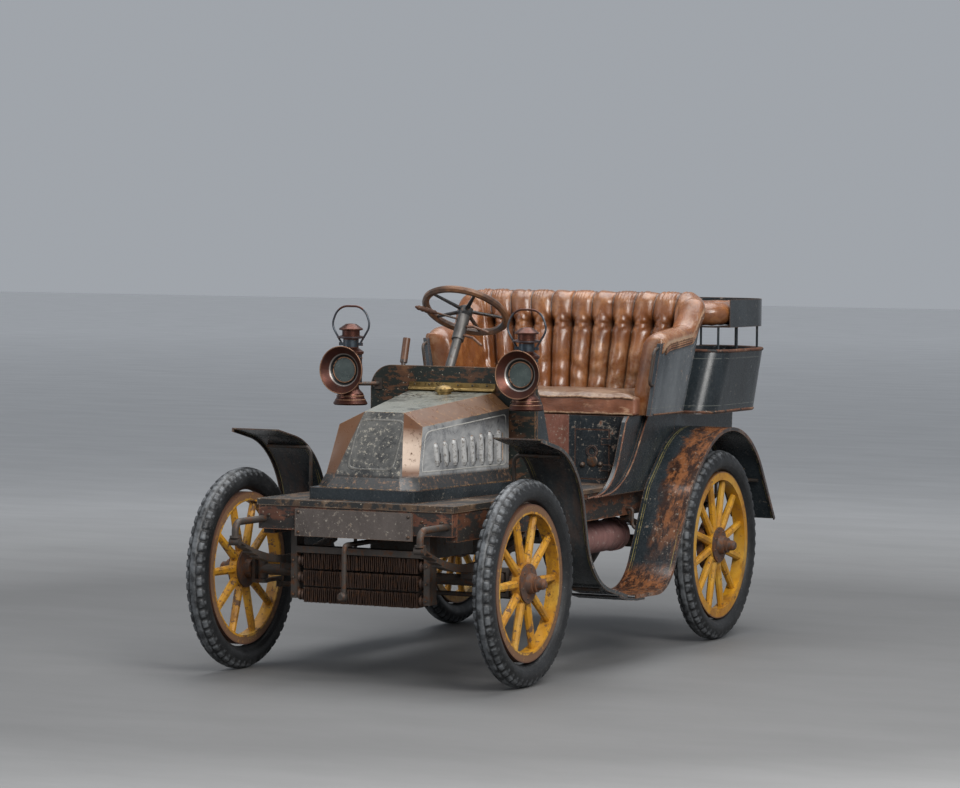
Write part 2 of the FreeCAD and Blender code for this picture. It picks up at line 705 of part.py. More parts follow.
# louvres: pressed-out bulges with round ends, open to the rear
bulges = []
hollows = []
for i in range(louvres):
    y = louvre_first_y + i * louvre_pitch
    ends = []
    for z in (louvre_low - i * louvre_fall + louvre_radius,
              louvre_top + i * louvre_rise - louvre_radius):
        ends.append((hood_side(y, z) - louvre_sunk, y, z))
    bulges += both_sides(capsule(ends[0], ends[1], louvre_radius))
    hollows += both_sides(capsule(ends[0], ends[1], louvre_radius - 3))
    hollows += both_sides(block((ends[0][0] + louvre_sunk - 1, ends[0][0] + 60), (y + 5, y + 30),
                                (ends[0][2], ends[1][2])))
hood = joined([hood] + bulges).cut(Part.makeCompound(hollows))
save("bonnet", hood)

# ---- dash board, brass strip, scuttle and floor ----------------------------------------------
dash_corner = 88.0
save("dash_board", plate([(-dash_half_width, deck_top, 0), (dash_half_width, deck_top, 0),
                          (dash_half_width, dash_top, dash_corner),
                          (-dash_half_width, dash_top, dash_corner)], "xz", dash_front, dash_rear))

bead_radius = 7.0
hinge_y = dash_front - bead_radius
hinge_z = hood_rear_top + 9
strip_half = hood_rear_top_half + 4
bead = bar((-strip_half, hinge_y, hinge_z), (strip_half, hinge_y, hinge_z), bead_radius)
strip_leaf = block((-strip_half, strip_half), (dash_front - 3, dash_front), (hinge_z, hinge_z + 26))
save("dash_strip", joined([bead, strip_leaf]))

cap_radius_outer = 35.0
cap_y = hood_rear_y - 56
top_slope = (hood_rear_top - hood_top_front) / (hood_rear_y - hood_top_y)
cap_z = hood_rear_top - (hood_rear_y - cap_y) * top_slope
filler_profile = [(0, 0), (cap_radius_outer - 8, 0), (cap_radius_outer - 8, 9),
                  (cap_radius_outer, 11), (cap_radius_outer, 22), (cap_radius_outer - 6, 28),
                  (12, 33), (0, 33)]
save("filler_cap", turned(filler_profile, (0, cap_y, cap_z), V(0, -top_slope, 1)))

floor_thickness = 15.0
floor_low = rail_top
floor_front = dash_rear
driver_floor = block((-rail_half_width - 6, rail_half_width + 6), (floor_front, seat_front + 40),
                     (floor_low, floor_low + floor_thickness))

scuttle_x = dash_half_width
scuttle_thickness = 18.0
scuttle_foot = floor_low + floor_thickness
scuttle = plate([(dash_rear, scuttle_foot, 0), (838, scuttle_foot, 0), (830, 690, 10),
                 (752, 780, 80), (664, 990, 60), (dash_rear, 1050, 0)],
                "yz", scuttle_x - scuttle_thickness, scuttle_x)
save("scuttle_sides", both_sides(scuttle))

side_inner = rail_half_width + 6
side_thickness = 20.0
side_low = rail_bottom + 90
seat_bottom = 928.0
inner_side = plate([(930, side_low, 0), (1180, side_low + 16, 240), (1300, 905, 0),
                    (1326, seat_bottom, 0), (seat_rear, seat_bottom, 0), (seat_rear, tub_floor, 0),
                    (tub_rear - 130, tub_floor, 0),
                    (tub_rear - 150, side_low + 30, 40), (1560, side_low, 0)],
                   "yz", side_inner, side_inner + side_thickness)
outer_side = plate([(960, side_low + 4, 0), (1260, side_low + 10, 420), (1490, seat_bottom, 0),
                    (seat_rear, seat_bottom, 0), (seat_rear - 10, side_low + 6, 60)],
                   "yz", side_inner + side_thickness, side_inner + side_thickness + 14)
save("body_sides", both_sides(joined([inner_side, outer_side])))

# ---- front seat ------------------------------------------------------------------------------
seat_wall = 18.0
locker_x = (190.0, 340.0)
locker_z = (672.0, 872.0)
locker_thickness = 18.0
box_half = rail_half_width + 6
box_bottom = floor_low + floor_thickness
box = block((-box_half, box_half), (seat_front, seat_rear), (box_bottom, seat_bottom))
box_hollow = block((-box_half + seat_wall, box_half - seat_wall),
                   (seat_front + seat_wall, seat_rear - seat_wall),
                   (box_bottom - 1, seat_bottom - seat_wall))
locker_hole = block(locker_x, (seat_front - 1, seat_front + seat_wall + 1), locker_z)
save("seat_box", box.cut(box_hollow).cut(locker_hole))

door_gap = 2.0
locker_hinge_x = locker_x[1] + 5
locker_hinge_y = seat_front - 6.5
locker_leaf = block((locker_x[0] + door_gap, locker_x[1] - door_gap),
                    (seat_front - 1, seat_front + locker_thickness - 1),
                    (locker_z[0] + door_gap, locker_z[1] - door_gap))
knuckles = []
for z in (locker_z[0] + 34, locker_z[1] - 62):
    knuckles.append(bar((locker_hinge_x, locker_hinge_y, z), (locker_hinge_x, locker_hinge_y, z + 28), 6))
    knuckles.append(block((locker_x[1] - 34, locker_hinge_x), (seat_front - 4, seat_front - 1),
                          (z + 2, z + 26)))
ring = turned([(16, 0), (24, 0), (24, 5), (16, 5)],
              (sum(locker_x) / 2, seat_front - 1, sum(locker_z) / 2 + 12), -Y_AXIS)
locker_door = joined([locker_leaf, ring] + knuckles)
save("locker_door", locker_door)

# the seat's shell: a bent board that leans out and back, open to the front
shell = 18.0
shell_corner = 120.0
shell_foot_half = 485.0
shell_head_half = 560.0
shell_foot_rear = 1838.0
shell_head_rear = 1898.0
shell_head = 1420.0
shell_front = 1400.0
arm_height = 1205.0
arm_rear_y = 1772.0
back_height = 1396.0
back_corner = 112.0         # the back's two top corners, seen from ahead
lining = 82.0                # thickness of the buttoned leather


def seat_block(inset, low, high):
    # the seat's outline between two heights, set in from the shell's outside
    rise = (high - low) / (shell_head - seat_bottom)
    start = (low - seat_bottom) / (shell_head - seat_bottom)
    lean_out = shell_head_half - shell_foot_half
    lean_back = shell_head_rear - shell_foot_rear
    return leaning(shell_foot_half + lean_out * start - inset,
                   shell_foot_rear + lean_back * start - inset, max(shell_corner - inset, 20),
                   shell_front - 200, low, high, lean_out * rise, lean_back * rise)


def arm_cut(front_y, arm_z, back_z):
    # everything over the line that runs along the arms and sweeps up to the back
    return plate([(front_y - 300, arm_z, 0), (arm_rear_y, arm_z + 30, 64),
                  (arm_rear_y + 38, back_z, 56), (2100, back_z + 6, 0), (2100, 1600, 0),
                  (front_y - 300, 1600, 0)], "yz", -700, 700)


def back_outline(top):
    # the back's outline seen from ahead: square below, both top corners rounded
    return plate([(-shell_head_half, 800, 0), (shell_head_half, 800, 0),
                  (shell_head_half, top, back_corner), (-shell_head_half, top, back_corner)],
                 "xz", shell_front - 200, shell_head_rear + 100)


front_trim = block((-700, 700), (shell_front - 300, shell_front), (800, 1600))
shell_solid = seat_block(0, seat_bottom, shell_head).cut(seat_block(shell, seat_bottom, shell_head))
shell_solid = shell_solid.cut(front_trim).cut(arm_cut(shell_front, arm_height, back_height))
shell_solid = shell_solid.common(back_outline(back_height))
save("seat_frame", shell_solid)

leather_foot = seat_bottom + 2 * touch
leather = seat_block(shell + touch, leather_foot, shell_head + 2).cut(
    seat_block(shell + lining, leather_foot, shell_head + 2))
leather = leather.cut(block((-700, 700), (shell_front - 300, shell_front + 22), (800, 1600)))
leather = leather.cut(arm_cut(shell_front, arm_height + 34, back_height + 22))
leather = leather.common(back_outline(back_height + 22))
save("seat_back", leather)

cushion_top = 1014.0
cushion_front = seat_front - 14
cushion_half = shell_foot_half - shell - lining - touch * 2
cushion_rear = shell_foot_rear - shell - lining - touch * 2
cushion_nose_half = 452.0
cushion_nose_rear = shell_front - 5
cushion_outline = [(-cushion_nose_half, cushion_front, 18), (cushion_nose_half, cushion_front, 18),
                   (cushion_nose_half, cushion_nose_rear, 12), (cushion_half, cushion_nose_rear, 0),
                   (cushion_half, cushion_rear, 24), (-cushion_half, cushion_rear, 24),
                   (-cushion_half, cushion_nose_rear, 0), (-cushion_nose_half, cushion_nose_rear, 12)]
cushion = plate(cushion_outline, "xy", seat_bottom + touch, cushion_top)
save("seat_cushion", cushion)

# ---- tonneau ---------------------------------------------------------------------------------
tub_wall = 18.0
tub_foot_half = 552.0
tub_corner = 210.0
tub_foot_rear = 2524.0
tub_lean = (tub_rear - tub_foot_rear) / (tub_rim - tub_floor)
well_half = rail_half_width - 4
well_low = floor_low + floor_thickness + 10
well_front = seat_rear + 6
tail_door_half = 205.0
tail_door_low = well_low + 36


def tub_block(inset, low, high):
    # the tub's outline between two heights: sides and rear lean out, the front leans back
    rise = (high - low) / (tub_rim - tub_floor)
    start = (low - tub_floor) / (tub_rim - tub_floor)
    lean_out = tub_half_width - tub_foot_half
    lean_back = tub_rear - tub_foot_rear
    nose_lean = tub_nose_rim - tub_nose_foot
    half = tub_foot_half + lean_out * start - inset
    rear = leaning(half, tub_foot_rear + lean_back * start - inset, tub_corner - inset,
                   tub_nose_foot - 200, low, high, lean_out * rise, lean_back * rise)
    nose = leaning(half, -tub_nose_foot - nose_lean * start - inset, tub_nose_corner - inset,
                   -tub_rear - 200, low, high, lean_out * rise, -nose_lean * rise)
    return rear.common(nose.mirror(V(0, 0, 0), V(0, 1, 0)))


def rear_plane(inset, z):
    # y of the sloping rear wall at a height
    return tub_rear - inset - (tub_rim - z) * tub_lean


tub_ring = tub_block(0, tub_floor, tub_rim).cut(tub_block(tub_wall, tub_floor + tub_wall, tub_rim + 9))
well = plate([(well_front, well_low), (rear_plane(0, well_low), well_low),
              (rear_plane(0, tub_floor + 1), tub_floor + 1), (well_front, tub_floor + 1)],
             "yz", -well_half, well_half)
well_hollow = plate([(well_front + tub_wall, well_low + tub_wall),
                     (rear_plane(tub_wall, well_low), well_low + tub_wall),
                     (rear_plane(tub_wall, tub_floor + 20), tub_floor + 20),
                     (tub_nose_foot + tub_wall, tub_floor + 20),
                     (tub_nose_foot + tub_wall, tub_floor - tub_wall),
                     (well_front + tub_wall, tub_floor - tub_wall)],
                    "yz", -well_half + tub_wall, well_half - tub_wall)
bench_inner = 250.0
bench_top = 985.0
bench_front = 1926.0
bench_rear = 2470.0
benches = []
for side in (-1, 1):
    benches.append(block(sorted((side * bench_inner, side * (tub_foot_half - 6))),
                         (bench_front - 60, bench_rear), (tub_floor + 4, bench_top)))
bench_inside = tub_block(4, tub_floor, tub_rim)
tub = tub_ring.fuse(well)
for bench in benches:
    tub = tub.fuse(bench.common(bench_inside))
tub = tub.cut(well_hollow)
door_cut = block((-tail_door_half, tail_door_half), (2380, 2700), (tail_door_low, tub_rim + 5))
tub = tub.cut(door_cut)
save("tonneau_body", tub)

door_clear = 3.0
tail_slab = plate([(rear_plane(tub_wall, tail_door_low), tail_door_low + door_clear),
                   (rear_plane(0, tail_door_low), tail_door_low + door_clear),
                   (rear_plane(0, tub_rim), tub_rim), (rear_plane(tub_wall, tub_rim), tub_rim)],
                  "yz", -tail_door_half + door_clear, tail_door_half - door_clear)
tail_hinge_x = tail_door_half + 8
tail_hinge_y = tub_rear + 7
hinge_bits = []
for z in (tail_door_low + 110, tub_rim - 60):
    hinge_bits.append(bar((tail_hinge_x, tail_hinge_y, z), (tail_hinge_x, tail_hinge_y, z + 40), 7))
    hinge_bits.append(block((tail_door_half - 60, tail_door_half - door_clear),
                            (rear_plane(2, z), tail_hinge_y), (z + 4, z + 36)))
    hinge_bits.append(block((tail_door_half - door_clear - 1, tail_hinge_x),
                            (rear_plane(-1, z + 36), tail_hinge_y), (z + 4, z + 36)))
latch = bar((-tail_door_half + 46, rear_plane(4, tub_rim - 40), tub_rim - 46),
            (-tail_door_half + 46, tub_rear + latch_reach, tub_rim - 46), 8)
save("tonneau_door", joined([tail_slab, latch] + hinge_bits))

bench_pad = 60.0
bench_outline = [(bench_inner + 4, bench_front, 20), (tub_foot_half - 30, bench_front, 40),
                 (tub_foot_half - 30, bench_rear - 190, 60), (tub_foot_half - 150, bench_rear - 60, 60),
                 (bench_inner + 4, bench_rear - 60, 20)]
bench_cushion = plate(bench_outline, "xy", bench_top + touch, bench_top + bench_pad)
save("tonneau_cushions", both_sides(bench_cushion))

# ---- padded rail on posts --------------------------------------------------------------------
pad_radius = 50.0
pad_middle = (pad_bottom + pad_top) / 2
pad_half = tub_half_width - pad_radius
pad_front = 1958.0
pad_front_corner = 62.0
pad_front_x = 240.0
pad_rear = tub_rear - pad_radius - 2
pad_corner = 190.0
pad_end_x = 226.0
rail_pad = rod([(pad_front_x, pad_front, pad_middle, 0),
                (pad_half, pad_front, pad_middle, pad_front_corner),
                (pad_half, pad_rear, pad_middle, pad_corner),
                (pad_end_x, pad_rear, pad_middle, 0)], pad_radius)
save("rail_pads", both_sides(rail_pad))

under_bar_top = pad_middle - pad_radius - touch
under_bar = 6.0
bar_half = 20.0


def around(offset, start_y, end_x):
    # the (x, y, radius) line that the rail follows, set outwards by an offset
    return [(pad_half + offset, start_y, 0), (pad_half + offset, pad_rear + offset,
                                              pad_corner + offset),
            (end_x, pad_rear + offset, 0)]


def flat_around(near, far, start_y, end_x, low, high):
    return plate(around(far, start_y, end_x) + around(near, start_y, end_x)[::-1], "xy", low, high)


guard_gap = touch
guard = 3.0
guard_front = 1990.0
post_radius = 5.0
rail_parts = [
    flat_around(-bar_half, bar_half, pad_front - 20, pad_end_x, under_bar_top - under_bar,
                under_bar_top),
    block((pad_front_x + 10, pad_half), (pad_front - bar_half, pad_front + bar_half),
          (under_bar_top - under_bar, under_bar_top)),
    flat_around(pad_radius + guard_gap, pad_radius + guard_gap + guard, guard_front, pad_end_x,
                under_bar_top - under_bar, pad_top + 2),
    flat_around(bar_half - 2, pad_radius + guard_gap + 1, guard_front, pad_end_x,
                under_bar_top - under_bar, under_bar_top),
]
post_rows = [  # (x, y) of the posts on the rim
    (pad_half + 13, 1962.0),
    (pad_half + 40, 2100.0),
    (pad_half + 40, 2332.0),
    (400.0, pad_rear + 40),
    (pad_end_x + 14, pad_rear + 40),
]
for x, y in post_rows:
    rail_parts.append(bar((x, y, tub_rim), (x, y, under_bar_top - under_bar / 2), post_radius))
save("rail_frame", both_sides(joined(rail_parts)))

# ---- wings, steps and stays ------------------------------------------------------------------
front_wing_line = [(19.0, 903.0, 0), (356.0, 831.0, 340), (486.0, 345.0, 290), (820.0, 270.0, 0)]
rear_wing_line = [(905.0, 262.0, 0), (1234.0, 255.0, 200), (1448.0, 642.0, 190),
                  (1958.0, 1074.0, 446), (2392.0, 462.0, 0)]
wing_edge = 12.0


def wing(line):
    # bent sheet with its outer edge turned down
    top = strip(line, sheet, wing_inner, wing_outer)
    lip_line = beside(line, -wing_edge / 2)
    lip = strip(lip_line, wing_edge, wing_outer - sheet, wing_outer)
    return joined([top, lip])


save("front_wings", both_sides(wing(front_wing_line)))
save("rear_wings", both_sides(wing(rear_wing_line)))

step_drop = wing_edge + 4.6
step_line = [(742.0, 287.5 - step_drop, 0), (820.0, 270.0 - step_drop, 60), (905.0, 262.0 - step_drop, 60),
             (985.0, 260.3 - step_drop, 0)]
side_step = strip(step_line, sheet + 3, wing_inner - 4, wing_outer + 2)
tail_step = joined([
    block((-110, 110), (tub_rear - 105, tub_rear - 5), (400, 406)),
    rod([(-80, frame_rear, rail_bottom + 20, 0), (-80, tub_rear - 70, rail_bottom + 20, 40),
         (-80, tub_rear - 70, 405, 0)], 9),
    rod([(80, frame_rear, rail_bottom + 20, 0), (80, tub_rear - 70, rail_bottom + 20, 40),
         (80, tub_rear - 70, 405, 0)], 9),
])
save("steps", both_sides(side_step) + [tail_step])

stay_radius = 7.0
stay_rows = [  # (y, z at the rail, z under the wing, height of the bend's run)
    (245.2, 600.0, 828.8),
    (617.9, 590.0, 305.4),
    (1368.5, 560.0, 477.5),
    (2262.0, 548.0, 627.7),
]
stay_x = 427.0
stays = []
for y, rail_z, wing_z in stay_rows:
    bend = min(26.0, abs(wing_z - rail_z) * 0.4)
    stays += both_sides(rod([(rail_half_width, y, rail_z, 0), (stay_x, y, rail_z, bend * 0.5),
                             (stay_x, y, wing_z, bend), (wing_outer - 30, y, wing_z, 0)],
                            stay_radius))
save("wing_stays", stays)

# ---- lamps -----------------------------------------------------------------------------------
lamp_x = 373.0
lamp_z = 1120.0
lamp_y = 462.0
bell_front = 385.0
bell_radius = 92.0
glass_radius = 53.0
lamp_radius = 44.0

lamp_drum = turned([(0, -136), (62, -136), (67, -130), (54, -108), (50, -92), (34, -74), (32, -62),
                    (lamp_radius, -54), (lamp_radius, 58), (50, 62), (50, 70), (30, 84), (30, 118),
                    (54, 122), (54, 128), (34, 132), (34, 150), (46, 153), (46, 158), (20, 176),
                    (0, 178)],
                   (lamp_x, lamp_y, lamp_z), Z_AXIS)
glass_seat = 47.0            # from the lamp's middle to the glass
bell = turned([(0, 0), (lamp_radius - 8, 0), (lamp_radius - 2, 22), (glass_radius + 3, glass_seat - 3),
               (bell_radius, lamp_y - bell_front), (bell_radius - 3, lamp_y - bell_front),
               (glass_radius, glass_seat + 5), (glass_radius - 3, glass_seat), (0, glass_seat)],
              (lamp_x, lamp_y, lamp_z), -Y_AXIS)
# bail handle
loop = rod([(lamp_x - 40, lamp_y, lamp_z + 100, 0), (lamp_x - 84, lamp_y, lamp_z + 170, 50),
            (lamp_x - 56, lamp_y, lamp_z + 244, 60), (lamp_x + 56, lamp_y, lamp_z + 244, 60),
            (lamp_x + 84, lamp_y, lamp_z + 170, 50), (lamp_x + 40, lamp_y, lamp_z + 100, 0)], 4)
ears = block((lamp_x - 50, lamp_x + 50), (lamp_y - 4, lamp_y + 4), (lamp_z + 92, lamp_z + 104))
lamp_body = joined([lamp_drum, bell, loop, ears])
save("lamp_bodies", both_sides(lamp_body))
glass = bar((lamp_x, lamp_y - glass_seat, lamp_z), (lamp_x, lamp_y - glass_seat - 4, lamp_z),
            glass_radius - 4)
save("lamp_glasses", both_sides(glass))
bracket_foot_x = 318.0
bracket = joined([
    block((lamp_x - 14, lamp_x + 14), (lamp_y + lamp_radius - 1, lamp_y + lamp_radius + 12),
          (lamp_z - 30, lamp_z + 30)),
    rod([(lamp_x, lamp_y + lamp_radius + 6, lamp_z - 26, 0),
         (lamp_x, lamp_y + lamp_radius + 6, lamp_z - 56, 12),
         (bracket_foot_x, dash_front - 22, lamp_z - 56, 14),
         (bracket_foot_x, dash_front - 2, lamp_z - 56, 0)], 8),
    block((bracket_foot_x - 16, bracket_foot_x + 16), (dash_front - 5, dash_front - touch),
          (lamp_z - 78, lamp_z - 34)),
])
lamp_bracket = bracket.cut(bar((lamp_x, lamp_y, lamp_z - 60), (lamp_x, lamp_y, lamp_z + 60),
                               lamp_radius + 0.05))
save("lamp_brackets", both_sides(lamp_bracket))

# ---- steering --------------------------------------------------------------------------------
column_x = -200.0
wheel_y = 1118.0
wheel_z = 1340.0
rake = math.radians(32.2)    # from upright, leaning back
column_axis = V(0, math.sin(rake), math.cos(rake))
column_radius = 19.0
rim_radius = 165.0
rim_thickness = 14.5
wheel_spokes = 5


def on_column(distance):
    # a point on the column's centre line, measured down from the steering wheel
    point = V(column_x, wheel_y, wheel_z) - column_axis * distance
    return (point.x, point.y, point.z)


column_length = (wheel_z - box_bottom) / math.cos(rake)
column_top = 26.5
column = joined([
    bar(on_column(column_length + 60), on_column(column_top), column_radius),
    bar(on_column(column_top + 110), on_column(column_top), column_radius + 6),
])
column_hole = bar(on_column(column_length + 80), on_column(column_length - 60), column_radius + 1)
column = column.cut(block((-600, 600), (400, 1400), (0, floor_low - 24)))
save("steering_column", column)
save("floor_boards", [front_deck, driver_floor.cut(column_hole)])

rim = []
for i in range(8):
    angle = math.pi * (i + 0.5) / 4
    rim.append((rim_radius + rim_thickness * math.cos(angle), rim_thickness * math.sin(angle)))
wheel_parts = [turned(rim, on_column(0), column_axis),
               turned([(0, -26), (24, -26), (30, -16), (30, 8), (20, 16), (0, 16)],
                      on_column(0), column_axis)]
for i in range(wheel_spokes):
    spoke = plate([(20, -9), (rim_radius - 6, -5), (rim_radius - 6, 5), (20, 9)], "xy", -4, 3)
    spoke.rotate(V(), Z_AXIS, 360.0 * i / wheel_spokes + 90)
    spoke.Placement = FreeCAD.Placement(V(*on_column(0)),
                                        FreeCAD.Rotation(Z_AXIS, column_axis)).multiply(spoke.Placement)
    wheel_parts.append(spoke)
save("steering_wheel", joined(wheel_parts))

# ---- levers, pedals and grab loops -----------------------------------------------------------
lever_parts = [
    rod([(*on_column(74), 0), (column_x + 60, wheel_y - 48, wheel_z - 62, 12),
         (column_x + 128, wheel_y - 54, wheel_z - 84, 0)], 5),
    rod([(*on_column(110), 0), (column_x + 70, wheel_y - 80, wheel_z - 104, 12),
         (column_x + 120, wheel_y - 100, wheel_z - 134, 0)], 5),
]
lever_parts = [shape.cut(bar(on_column(300), on_column(-10), column_radius + 6.2)) for shape in lever_parts]
side_lever_x = -(side_inner + side_thickness + 14 + 16)
side_lever = joined([
    rod([(side_lever_x, 1010, 560, 0), (side_lever_x, 1010, 900, 300), (side_lever_x, 1075, 1130, 0)], 9),
    bar((side_lever_x, 1075, 1128), (side_lever_x, 1102, 1225), 15),
    bar((-(rail_half_width - 1), 1010, 580), (side_lever_x - 12, 1010, 580), 16),
])
side_lever = side_lever.cut(block((-rail_half_width, -300), (900, 1100), (500, 700)))
pedals = []
for x in (-250.0, -150.0):
    pedals.append(joined([
        rod([(x, 700, box_bottom, 0), (x, 700, 700, 0)], 7),
        bar((x, 692, 700), (x, 706, 712), 26),
    ]))
save("control_levers", lever_parts + [side_lever] + pedals)

grab = rod([(493, shell_front, 1050, 0), (494, shell_front - 36, 1058, 22),
            (514, shell_front - 36, 1192, 26), (516, shell_front, 1200, 0)], 6)
grab = grab.cut(block((400, 600), (shell_front, shell_front + 40), (900, 1400)))
save("grab_loops", both_sides(grab))
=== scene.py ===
import bpy
import numpy as np
from math import pi
from mathutils import Matrix, Vector


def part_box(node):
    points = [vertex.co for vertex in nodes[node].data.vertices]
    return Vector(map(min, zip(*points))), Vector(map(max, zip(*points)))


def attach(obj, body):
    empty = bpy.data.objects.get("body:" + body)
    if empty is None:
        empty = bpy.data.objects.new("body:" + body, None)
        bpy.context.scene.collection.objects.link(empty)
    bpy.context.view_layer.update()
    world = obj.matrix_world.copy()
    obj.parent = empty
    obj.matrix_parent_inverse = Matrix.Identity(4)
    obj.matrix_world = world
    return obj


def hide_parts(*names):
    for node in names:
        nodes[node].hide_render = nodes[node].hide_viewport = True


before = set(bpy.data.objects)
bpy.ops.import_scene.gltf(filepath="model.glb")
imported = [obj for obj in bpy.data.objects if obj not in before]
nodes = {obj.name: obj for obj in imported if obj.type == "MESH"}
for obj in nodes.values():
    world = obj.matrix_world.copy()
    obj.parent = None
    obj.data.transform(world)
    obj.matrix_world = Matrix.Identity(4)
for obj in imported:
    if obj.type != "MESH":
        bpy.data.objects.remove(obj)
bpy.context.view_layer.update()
print("frame in place,", len(nodes), "nodes")


# ---- surfaces and the finishes' nodes ----

def gridFaces(rows, cols, closeRows=False, closeCols=False):  # quads joining neighbours on a rows x cols grid
    r = np.arange(rows if closeRows else rows - 1)
    c = np.arange(cols if closeCols else cols - 1)
    r, c = np.meshgrid(r, c, indexing="ij")
    nextR, nextC = (r + 1) % rows, (c + 1) % cols
    return np.stack([r * cols + c, r * cols + nextC, nextR * cols + nextC, nextR * cols + c], -1).reshape(-1, 4)


def addObject(name, data):
    made = bpy.data.objects.new(name, data)
    bpy.context.scene.collection.objects.link(made)
    return made


def meshPiece(name, points, faces, material, body, slot, marks=None, smooth=True):
    # points (n, 3) and quads (m, 4) become one object riding on a body; marks are named values, one per point
    mesh = bpy.data.meshes.new(name)
    mesh.from_pydata(np.asarray(points, float).reshape(-1, 3), [], np.asarray(faces).tolist())
    for label, values in (marks or {}).items():
        mesh.attributes.new(label, "FLOAT", "POINT").data.foreach_set("value", np.asarray(values, np.float32).ravel())
    mesh.polygons.foreach_set("use_smooth", np.full(len(mesh.polygons), smooth))
    mesh.materials.append(material)
    mesh.update()
    piece = addObject(name, mesh)
    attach(piece, body)
    return piece


class Signal:  # an output of a finish's nodes, which can be added, taken away and multiplied
    def __init__(self, finish, socket):
        self.finish, self.socket = finish, socket

    def __add__(self, other):
        return self.finish.calc("ADD", self, other)

    def __radd__(self, other):
        return self.finish.calc("ADD", other, self)

    def __sub__(self, other):
        return self.finish.calc("SUBTRACT", self, other)

    def __rsub__(self, other):
        return self.finish.calc("SUBTRACT", other, self)

    def __mul__(self, other):
        return self.finish.calc("MULTIPLY", self, other)

    def __abs__(self):
        return self.finish.calc("ABSOLUTE", self)


class Finish:  # one material with its running tone; most methods add nodes and hand back a signal
    def __init__(self, name, **sockets):
        self.material = bpy.data.materials.new(name)
        self.material.use_nodes = True
        self.tree = self.material.node_tree
        self.shader = self.tree.nodes["Principled BSDF"]
        for label, value in sockets.items():
            self.shader.inputs[label.replace("_", " ")].default_value = value
        texture = self.tree.nodes.new("ShaderNodeTexCoord")
        self.coords, self.normal = (Signal(self, texture.outputs[label]) for label in ("Object", "Normal"))

    def feed(self, socket, value):  # a signal is linked to the socket, a number or a colour is set on it
        if isinstance(value, Signal):
            self.tree.links.new(value.socket, socket)
        elif value is not None:
            socket.default_value = (*value, 1) if socket.type == "RGBA" else value

    def node(self, kind, inputs, output=0, **settings):
        made = self.tree.nodes.new("ShaderNode" + kind)
        for label, value in settings.items():
            setattr(made, label, value)
        for key, value in inputs.items():
            self.feed(made.inputs[key], value)
        return Signal(self, made.outputs[output])

    def calc(self, how, a, b=None, c=None):
        return self.node("Math", {0: a, 1: b, 2: c}, operation=how)

    def most(self, first, *others):
        for other in others:
            first = self.calc("MAXIMUM", first, other)
        return first

    def apart(self, a, b):  # the distance from the axis where a and b are both 0
        return self.calc("SQRT", a * a + b * b)

    def along(self, axis, source=None):
        return self.node("SeparateXYZ", {0: source or self.coords}, axis)

    def mark(self, label):
        return self.node("Attribute", {}, "Fac", attribute_name=label)

    def noise(self, scale, detail=5.0, rough=0.6, stretch=(1, 1, 1), shift=(0, 0, 0), warp=0.0):
        spot = self.node("Mapping", {0: self.coords, 1: shift, 3: stretch})
        return self.node("TexNoise", {"Vector": spot, "Scale": scale, "Detail": detail, "Roughness": rough,
                                      "Distortion": warp})

    def cracks(self, scale, drift=3.0):  # the distance to the nearest crack of a web whose cells wander
        wander = self.node("TexNoise", {"Vector": self.coords, "Scale": scale * 0.6}, "Color")
        spot = self.node("VectorMath", {0: wander, 1: (drift / scale,) * 3}, operation="MULTIPLY")
        spot = self.node("VectorMath", {0: self.coords, 1: spot}, operation="ADD")
        return self.node("TexVoronoi", {"Vector": spot, "Scale": scale}, "Distance", feature="DISTANCE_TO_EDGE")

    def level(self, value, low, high, out=(0.0, 1.0)):  # straight ramp, held at its ends
        return self.node("MapRange", {0: value, 1: low, 2: high, 3: out[0], 4: out[1]})

    def past(self, value, place, soft):  # 1 where the value is past the place, or short of it if soft is negative
        return self.level(value, place - soft, place + soft)

    def patches(self, low, high, *noise, **settings):  # noise as a mask, 0 up to low and 1 from high
        return self.level(self.noise(*noise, **settings), low, high)

    def mix(self, amount, first, second):  # two tones
        return self.node("Mix", {0: amount, 6: first, 7: second}, 2, data_type="RGBA")

    def blend(self, value, low, high, first, second):  # the first up to low, the second from high
        return self.mix(self.level(value, low, high), first, second)

    def coat(self, amount, colour):  # one more layer over the tone
        self.tone = self.mix(amount, self.tone, colour)

    def edges(self, size, soft=0.25):  # 1 along sharp corners, 0 on the flats
        rounded, true = self.node("Bevel", {"Radius": size}, samples=4), self.node("NewGeometry", {}, "Normal")
        alike = self.node("VectorMath", {0: rounded, 1: true}, "Value", operation="DOT_PRODUCT")
        return self.level(alike, 1.0, 1.0 - soft)

    def done(self, rough, height, depth=0.001, strength=0.5):
        bump = self.node("Bump", {"Height": height, "Distance": depth, "Strength": strength})
        for label, value in (("Base Color", self.tone), ("Roughness", rough), ("Normal", bump)):
            self.feed(self.shader.inputs[label], value)
        return self.material


# ---- finishes ----

wornPaint = {"chipSize": 38.0, "edge": 0.005, "gloss": 0.26, "dust": 0.25, "streak": (1, 1, 0.35)}


